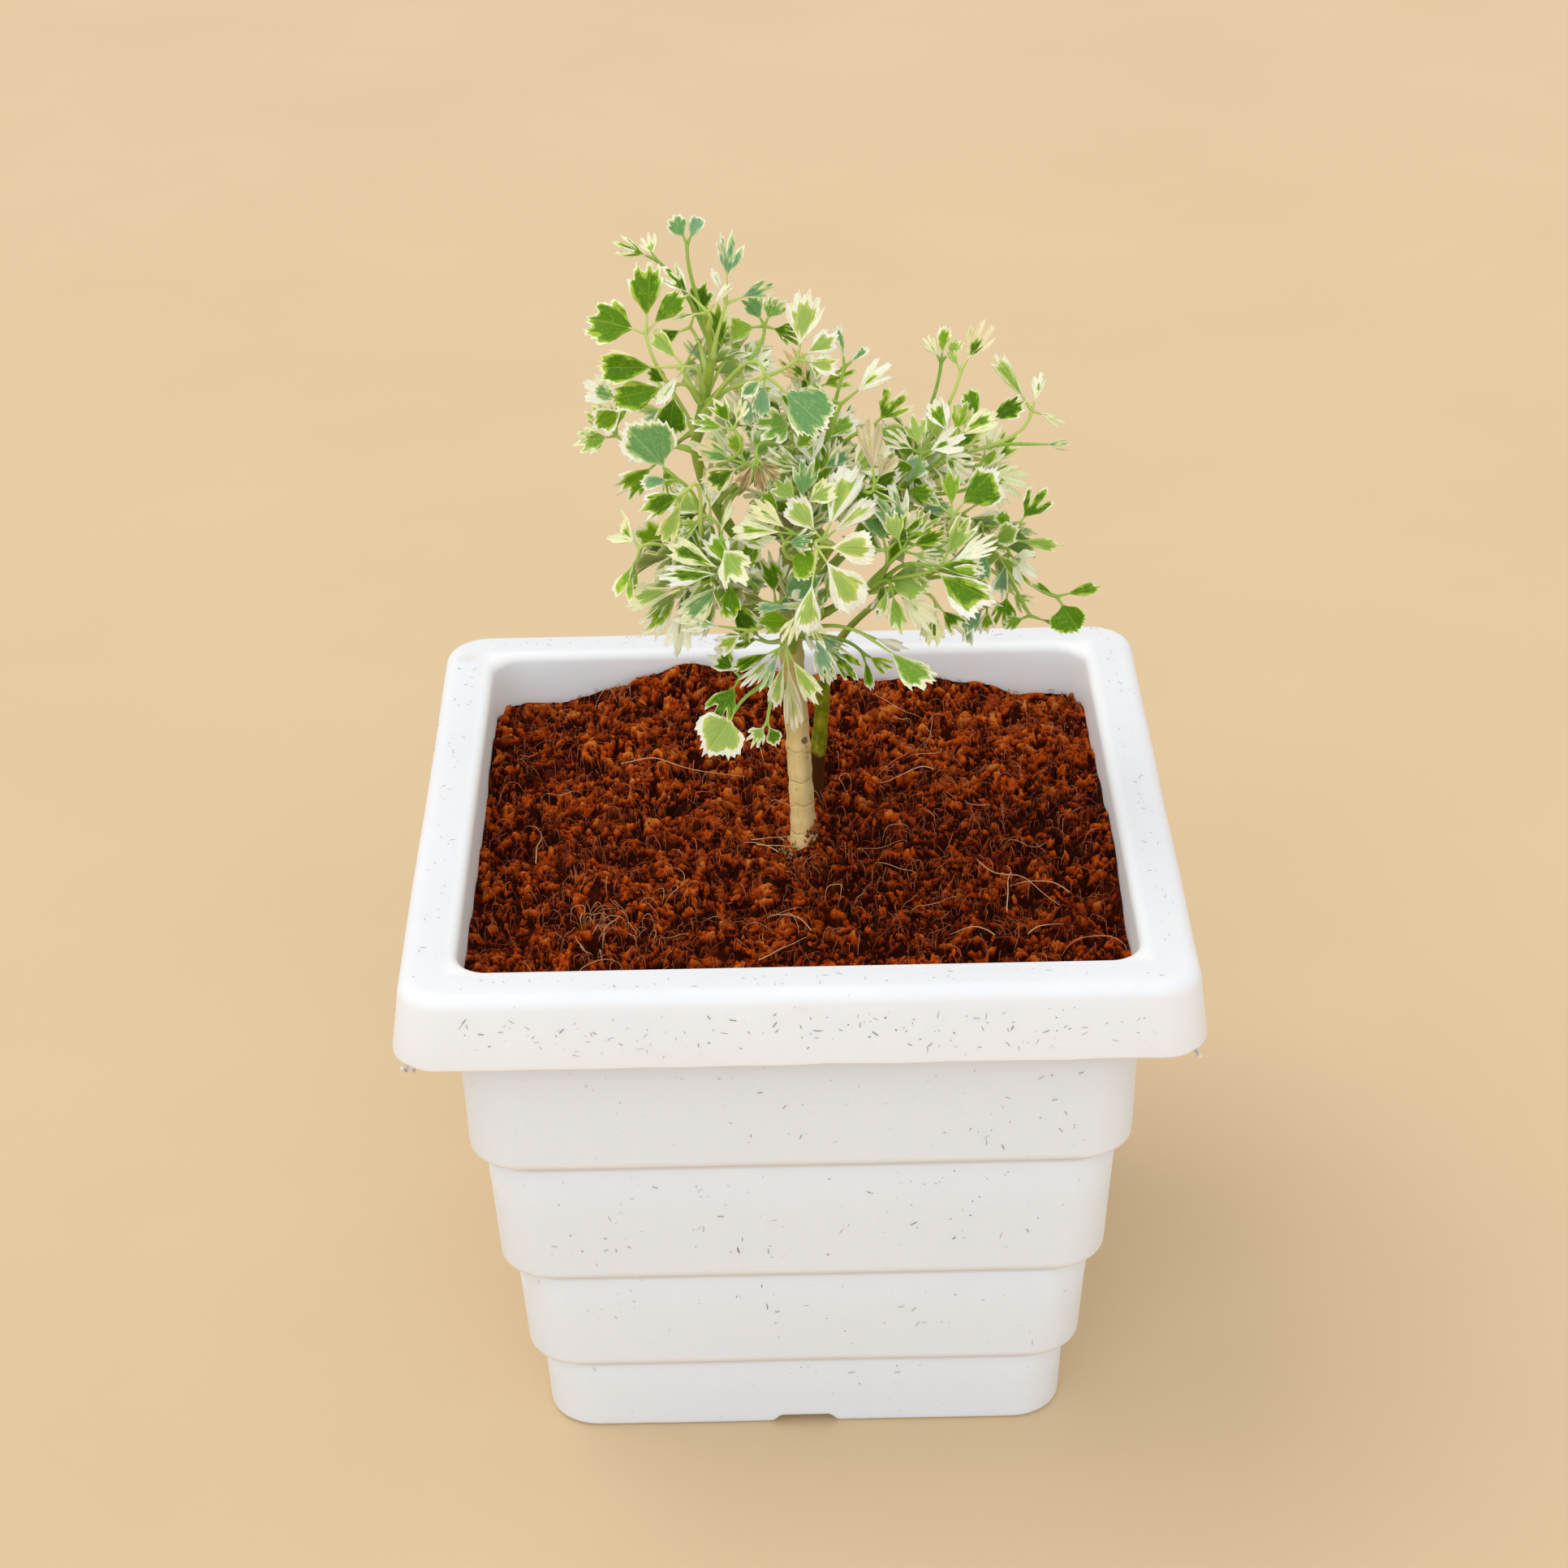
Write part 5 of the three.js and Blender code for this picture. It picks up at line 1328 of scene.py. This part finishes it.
SHOOTS = [
    dict(
        name="shoot_upper_left",
        seed=11,
        route=[
            (-1, 1, 163), (-8, 0, 172), (-14, 0, 182), (-17.5, 0, 193),
            (-16, 0, 203), (-14, 0, 213), (-15, -2, 222),
        ],
        radii=[1.5, 1.4, 1.35, 1.2, 1, 0.75],
        fronds=[
            (0.84, (-18, 0, 235), [(112, 6, 4.5), (66, 6.5, 3)], "bluish"),
            (0.88, (-24, 3, 231), [(158, 8.5, 4), (118, 6, 5)]),
            (0.93, (-14.5, -5, 223.5), [(133, 12, 4.5, 5), (184, 7, 1.8), (47, 7, 1.8)]),
            (0.8, (-11, -2, 224), [(86, 12.5, 6.5, 5), (22, 10, 3.5, 3), (112, 7, 1.6)]),
            (0.55, (-26, -6, 220), [(84, 13, 8), (160, 12, 10), (48, 10, 5)], "deep"),
            (0.7, (-19, -8, 214), [(180, 16, 6.5, 6), (132, 9, 3.5), (236, 9, 2.5)]),
            (0.66, (-21, -5, 209), [(192, 12, 7), (262, 10, 6.5), (150, 6, 3)], "deep"),
            (0.5, (-33, 9, 193), [(188, 8, 6), (128, 8.5, 6), (84, 7, 3.5)]),
            (0.58, (-30, 7, 200), [(152, 10, 6), (205, 9, 6)]),
            (0.66, (2, -8, 215), [(78, 13, 7.5), (32, 9, 5), (-14, 8, 4)], "pale"),
            (0.62, (-4, -15, 215), [(-43, 15, 9.5, 5), (262, 8, 3.5), (226, 6, 3)], "bluish"),
            (0.62, (-4, 9, 215), [(118, 7, 4.5), (66, 7.5, 5), (186, 8, 5), (-18, 8, 5)]),
            (0.76, (-18, 4, 217), [(70, 9, 5), (200, 8, 4)]),
            (0.4, (-10, -17, 205), [(168, 8, 3.5), (122, 7, 4), (70, 6, 3)]),
            (0.3, (-8, -10, 195), [(163, 10, 4.5), (206, 9, 5.5), (118, 7, 4)]),
        ],
        rule=dict(count=1, sector=[80, 170], climb=[0.45, 0.8], reach=[12, 17], low=0),
    ),
    dict(
        name="shoot_top",
        seed=23,
        route=[(0, 1, 168), (1, 2, 176), (4, 2, 184), (7, 0, 192)],
        radii=[1.3, 1.2, 1, 0.75],
        fronds=[
            (1, (11, 0, 210), [(96, 8, 2.4), (40, 6, 2)], "bluish"),
            (0.9, (10, -6, 205), [(36, 12, 5, 4), (150, 7, 3)]),
            (0.85, (16, -3, 199), [(42, 9.5, 7), (-16, 7, 5.5)]),
            (0.8, (2, -9, 203), [(196, 8.5, 7), (100, 7, 4.5), (20, 6, 3)]),
            (0.95, (16, -16, 193), [(97, 12, 5), (60, 7, 4)], "tan"),
            (0.45, (7, -8, 190), [(75, 8, 7), (140, 8, 5), (10, 7, 5)]),
            (0.7, (13, -9, 187.5), [(28, 9, 8), (100, 8, 5)]),
            (0.85, (-6, -14, 198), [(246, 6.5, 4), (278, 6.5, 4), (312, 6, 3.5)], "brown"),
            (0.8, (-2, 6, 192), [(120, 9, 6), (60, 8, 5), (190, 7, 4)]),
            (1, (5, 6, 203), [(125, 9, 6), (72, 8, 5), (20, 9, 5)]),
        ],
        rule=dict(count=1, sector=[60, 120], climb=[0.7, 1], reach=[9, 12], low=25),
    ),
    dict(
        name="shoot_right",
        seed=37,
        route=[(1, 1, 160), (9, 3, 168), (17, 5, 176), (24, 5, 184)],
        radii=[1.3, 1.2, 1, 0.75],
        fronds=[
            (0.95, (33, 2, 208), [(58, 10.5, 5.5), (118, 5, 2)]),
            (0.9, (30, 16, 204), [(84, 7, 3.5), (48, 6, 3), (120, 6, 3)]),
            (1, (47, 8, 197), [(124, 13, 3.5), (72, 8, 3), (-20, 7, 2.5)]),
            (1, (45, 8, 190), [(-3, 9.5, 2.4, 5)]),
            (0.95, (37, 4, 196), [(26, 9.5, 4.5), (112, 8, 4.5), (150, 6, 3)]),
            (0.9, (31, -4, 196), [(112, 9, 5), (70, 9, 5.5), (34, 10, 5)]),
            (0.5, (31, -9, 183), [(48, 12, 9.5), (140, 12, 5.5), (92, 9, 4)]),
            (0.8, (37, 10, 182), [(60, 9, 5), (10, 8, 4), (120, 8, 4.5)]),
            (0.7, (25, -7, 195), [(20, 9, 5), (100, 8, 5), (150, 8, 4)]),
        ],
        rule=dict(count=2, sector=[30, 90], climb=[0.5, 1], reach=[12, 17], low=0),
    ),
    dict(
        name="shoot_right_front",
        seed=41,
        route=[(0, 0, 153), (6, -5, 160.5), (12, -9, 166), (17, -12, 170)],
        radii=[1.2, 1.1, 0.95, 0.75],
        fronds=[
            (0.9, (21, -18, 180), [(24, 9.5, 5), (62, 9, 5), (106, 8, 4.5), (-12, 9, 4.5)]),
            (0.95, (28, -19, 177), [(24, 12, 6), (56, 12, 5.5), (-8, 8, 3)]),
            (1, (25, -20, 178), [(-30, 15, 10), (-4, 12, 4)]),
            (0.85, (19, -16, 172), [(-82, 10, 4.5), (-46, 12, 6), (-112, 7, 3)]),
            (0.8, (28, -8, 164), [(-95, 8, 5.5), (-50, 8, 5)]),
        ],
    ),
    dict(
        name="shoot_front",
        seed=53,
        route=[(0, 0, 159.5), (1.5, -6, 166), (5, -12, 174), (8, -17, 181)],
        radii=[1.4, 1.3, 1.15, 0.9],
        fronds=[
            (0.95, (6, -21, 184), [(62, 15, 8.5, 3), (36, 12.5, 4), (128, 10, 5.5)], "pale"),
            (1, (5, -24, 184), [(-4, 12, 6.5), (-58, 14, 8.5), (-99, 16, 5, 7)], "pale"),
            (0.9, (1, -20, 185), [(150, 10.5, 6), (172, 13, 4)]),
            (0.8, (2, -17, 189), [(80, 9, 5), (130, 7.5, 4.5), (30, 8, 4.5)]),
        ],
        rule=dict(count=1, sector=[-150, -30], climb=[0.5, 0.9], reach=[8, 12], low=-30),
    ),
    dict(
        name="shoot_left",
        seed=67,
        route=[(0, 1, 154), (-7, -3, 161), (-13, -6, 168), (-17, -8, 174)],
        radii=[1.2, 1.1, 0.95, 0.75],
        fronds=[
            (0.9, (-21, -12, 193), [(136, 14, 12.5), (184, 7, 3)], "bluish"),
            (1, (-19, -17, 193), [(214, 10, 6.5), (242, 12, 4)]),
            (0.6, (-22, 18, 166), [(178, 9.5, 7.5), (206, 8, 5.5)]),
            (0.3, (-11, -18, 176), [(156, 13.5, 6), (124, 9, 6.5), (181, 14, 5)]),
            (1, (-20, -10, 170), [(198, 12, 6.5), (228, 13, 6.5), (262, 14, 5.5)]),
            (0.8, (-11, -14, 174), [(222, 14, 9), (190, 10, 4), (262, 9, 5)]),
            (0.2, (-8, -18, 164), [(172, 15, 4.5, 6), (206, 9, 4.5)]),
            (0.75, (-15, -10, 184), [(150, 9, 6), (90, 8, 5), (200, 9, 5)]),
        ],
        rule=dict(count=2, sector=[130, 200], climb=[0.5, 1], reach=[10, 16], low=-30),
    ),
    dict(
        name="shoot_low",
        seed=71,
        route=[(0, 0, 149), (0.5, -4, 154), (1, -7, 158)],
        radii=[1.1, 1, 0.8],
        fronds=[
            (0.9, (-2, -14, 158), [(202, 10, 3), (222, 11, 4.5), (240, 9, 4)]),
            (0.95, (-1, -14, 158), [(274, 17, 4.5), (258, 12, 3.5), (296, 12, 5)]),
            (1, (4, -8, 159), [(-70, 11, 5.5), (-40, 9, 4.5)]),
            (0.7, (7, -5, 154), [(-52, 9, 6), (-88, 8, 4)]),
            (0.9, (14, -18, 162.5), [(-36, 16, 7.5, 6), (-18, 9, 2.2)]),
            (1, (2, -20, 170), [(182, 9, 2.2), (244, 8, 4), (-60, 8, 3)]),
            (0.6, (-5, -5, 155), [(168, 8, 5.5), (140, 7, 4)]),
            (0.8, (14, -3, 151), [(-76, 7, 2), (-30, 7, 3.5)]),
        ],
    ),
    dict(
        name="shoot_low_left",
        seed=83,
        route=[(0.5, 0, 141), (-2, -4, 145), (-4, -7, 147)],
        radii=[0.9, 0.8, 0.7],
        fronds=[
            (1, (-10, -12, 151), [(138, 7.5, 5.5), (238, 10, 6)]),
            (1, (-11, -14, 145), [(238, 10.5, 11)], "pale"),
            (0.8, (-5, -12, 141), [(236, 6, 4), (290, 5, 3.5)]),
        ],
    ),
    dict(
        name="shoot_back",
        seed=97,
        route=[(0.5, 1, 165), (0.5, 6, 172), (-1, 12, 179), (-2, 17, 184)],
        radii=[1.2, 1.1, 0.95, 0.75],
        fronds=[],
        rule=dict(count=5, sector=[50, 130], climb=[0.5, 1], reach=[9, 16], low=-30),
    ),
]

SECOND_STEM = dict(
    name="second_stem",
    seed=101,
    fronds=[
        (1, (42, -3, 175), [(52, 12.5, 6, 5), (-8, 10.5, 2.8), (100, 6, 3)]),
        (0.95, (52, 0, 161), [(-58, 8, 8.5), (14, 10, 2.8), (150, 5, 2)], "deep"),
        (0.97, (47, 2, 156), [(-20, 9, 2), (200, 6, 3)]),
        (0.9, (43, 8, 159), [(262, 8, 5.5), (-40, 7, 4)]),
        (0.85, (39, 8, 156), [(230, 8, 4.5), (270, 7, 4)]),
    ],
    rule=dict(count=2, sector=[20, 90], climb=[0.7, 1], reach=[9, 14], low=-30),
)


def in_crown(place):
    return any(np.linalg.norm((place - middle) / reach) < 1 for middle, reach in CROWN)


def filler_fronds(route, fronds, detail):
    """Small leaves between the large ones and the stem, which close the crown."""
    fillers = []
    kept_clear = [np.array(frond["hub"], float) for frond in fronds if frond.get("look")]
    for frond in fronds:
        start = route.at(frond["at"])
        hub = np.array(frond["hub"], float)
        for _ in range(FILLERS_PER_LEAF):
            shift = 9 * (np.array([detail(), detail(), detail()]) - 0.5)
            place = lerp(start, hub, 0.5 + 0.5 * detail()) + shift
            if np.linalg.norm(place - start) < 3.5 or not in_crown(place):
                continue
            if any(np.linalg.norm(place - middle) < CLEAR_OF_NAMED for middle in kept_clear):
                continue
            facing = frond.get("facing", FRONT) + 150 * (detail() - 0.5)
            heading = clock_of(leaf_axes(facing), place - start) + 90 * (detail() - 0.5)
            leaflets = spray(heading, detail, **FILLER_SPRAY)
            at = min(max(frond["at"] + 0.2 * (detail() - 0.5), 0.05), 1)
            fillers.append(dict(at=at, hub=place, facing=facing, leaflets=leaflets))
    return fillers


def leafy_pieces(plan, route, materials):
    """A shoot's blades as one piece, and its stem, stalks and stalklets as another."""
    blade_look, stem_look = materials
    name = plan["name"]
    random = Seeded(plan["seed"])
    detail = Seeded(plan["seed"] + 7001)
    fronds = [
        dict(at=at, hub=hub, leaflets=leaflets, look=look[0] if look else None)
        for at, hub, leaflets, *look in plan["fronds"]
    ]
    if "rule" in plan:
        fronds += ruled_fronds(route, plan["rule"], random)
    blades, stems = Shape(), Shape()
    line = route.even(SHOOT_RINGS)
    share = np.linspace(0, 1, SHOOT_RINGS)
    if name == "second_stem":
        age = lerp(SECOND_STEM_YOUNG, 1, smoothstep(*SECOND_STEM_AGING, line[:, 2]))
        slimness = lerp(1, SECOND_STEM_THINNED, smoothstep(*SECOND_STEM_THINNING, share))
    else:
        age = np.full(SHOOT_RINGS, SHOOT_AGE)
        slimness = SHOOT_SLIMNESS
    radii = stem_radii(plan["radii"], SHOOT_RINGS)
    for knot in SHOOT_KNOTS:
        radii = radii * (1 + bulge(share, knot, SHOOT_KNOT_REACH, SHOOT_KNOT_SWELL))
    wobble = np.array([noise.noise(Vector(point) / 2.2) for point in line])
    tone = np.repeat([(SHOOT_KIND, 0.5, ring_age) for ring_age in age], SHOOT_SIDES, axis=0)
    add_tube(stems, line, slimness * radii * (1 + SHOOT_RIPPLE * wobble), SHOOT_SIDES, tone=tone)
    for frond in fronds:
        add_leaf(blades, stems, route, frond, random, detail, BLADE_RINGS)
    for frond in filler_fronds(route, fronds, detail):
        add_leaf(blades, stems, route, frond, detail, detail, FILLER_RINGS)
    leaves = new_piece(f"{name}_leaves", blades, blade_look, 60.0)
    stalks = new_piece(f"{name}_stalks", stems, stem_look, 60.0)
    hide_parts(name)
    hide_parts(name)


# Surroundings: a pale floor, soft light and the camera.
FLOOR_HALF = 3.0
CAMERA_PLACE = (-3.990, -618.724, 465.563)
CAMERA_YAW = 0.003388
CAMERA_PITCH = 0.508938
CAMERA_ROLL = -0.018316
CAMERA_FOCAL_PIXELS = 4349.39
IMAGE_PIXELS = 1932
SENSOR = 36.0


def add_camera():
    camera = add_object("view", bpy.data.cameras.new("view"))
    camera.data.sensor_width = SENSOR
    camera.data.lens = SENSOR * CAMERA_FOCAL_PIXELS / IMAGE_PIXELS
    camera.data.clip_start = 0.01
    yaw, pitch, roll = CAMERA_YAW, CAMERA_PITCH, CAMERA_ROLL
    ahead = Vector((math.sin(yaw) * math.cos(pitch), math.cos(yaw) * math.cos(pitch), -math.sin(pitch)))
    level = Vector((math.cos(yaw), -math.sin(yaw), 0))
    upward = level.cross(ahead)
    right = level * math.cos(roll) + upward * math.sin(roll)
    up = upward * math.cos(roll) - level * math.sin(roll)
    turn = Matrix((right, up, -ahead)).transposed().to_4x4()
    camera.matrix_world = Matrix.Translation(Vector(CAMERA_PLACE) * MM) @ turn
    bpy.context.scene.camera = camera


def add_floor():
    mesh = bpy.data.meshes.new("floor")
    h = FLOOR_HALF
    mesh.from_pydata([(-h, -h, 0), (h, -h, 0), (h, h, 0), (-h, h, 0)], [], [(0, 1, 2, 3)])
    m = Nodes("floor_plaster")
    cloud = m.noise(m.position(), 9.0, 3.0)
    m.set(Base_Color=m.mix(cloud, (0.69, 0.51, 0.30), (0.75, 0.56, 0.34)), Roughness=0.8)
    mesh.materials.append(m.material)
    floor = add_object("floor", mesh)


def add_light(name, place, softness, power, color):
    """Broad even light from the direction of place. softness is its angle in degrees."""
    light = bpy.data.lights.new(name, "SUN")
    light.angle = math.radians(softness)
    light.energy = power
    light.color = color
    lamp = add_object(name, light)
    lamp.location = place
    lamp.rotation_euler = (-Vector(place)).to_track_quat("-Z", "Y").to_euler()


def add_surroundings():
    add_floor()
    add_camera()
    world = bpy.data.worlds.new("soft_sky")
    world.use_nodes = True
    sky = world.node_tree.nodes["Background"].inputs
    sky["Color"].default_value = (1.0, 0.98, 0.945, 1)
    sky["Strength"].default_value = 0.80
    bpy.context.scene.world = world
    add_light("key", (-0.6, 0.2, 1.0), 50, 0.75, (1.0, 0.98, 0.94))
    add_light("front", (-0.1, -1.0, 0.5), 70, 1.0, (0.70, 0.85, 1.0))
    bpy.context.scene.view_settings.view_transform = "Standard"


planter_piece()
fleck_piece()
flash_piece(bpy.data.materials["white_plastic"])
coir_piece()
crumb_piece()
fibre_pieces()
trunk_piece()
leaf_looks = (leaf_material(), green_stem_material())
for shoot in SHOOTS:
    leafy_pieces(shoot, Route(shoot["route"]), leaf_looks)
second_plan = dict(SECOND_STEM, radii=SECOND_STEM_RADII, slot="green_stem")
leafy_pieces(second_plan, Route(SECOND_STEM_ROUTE), leaf_looks)
add_surroundings()
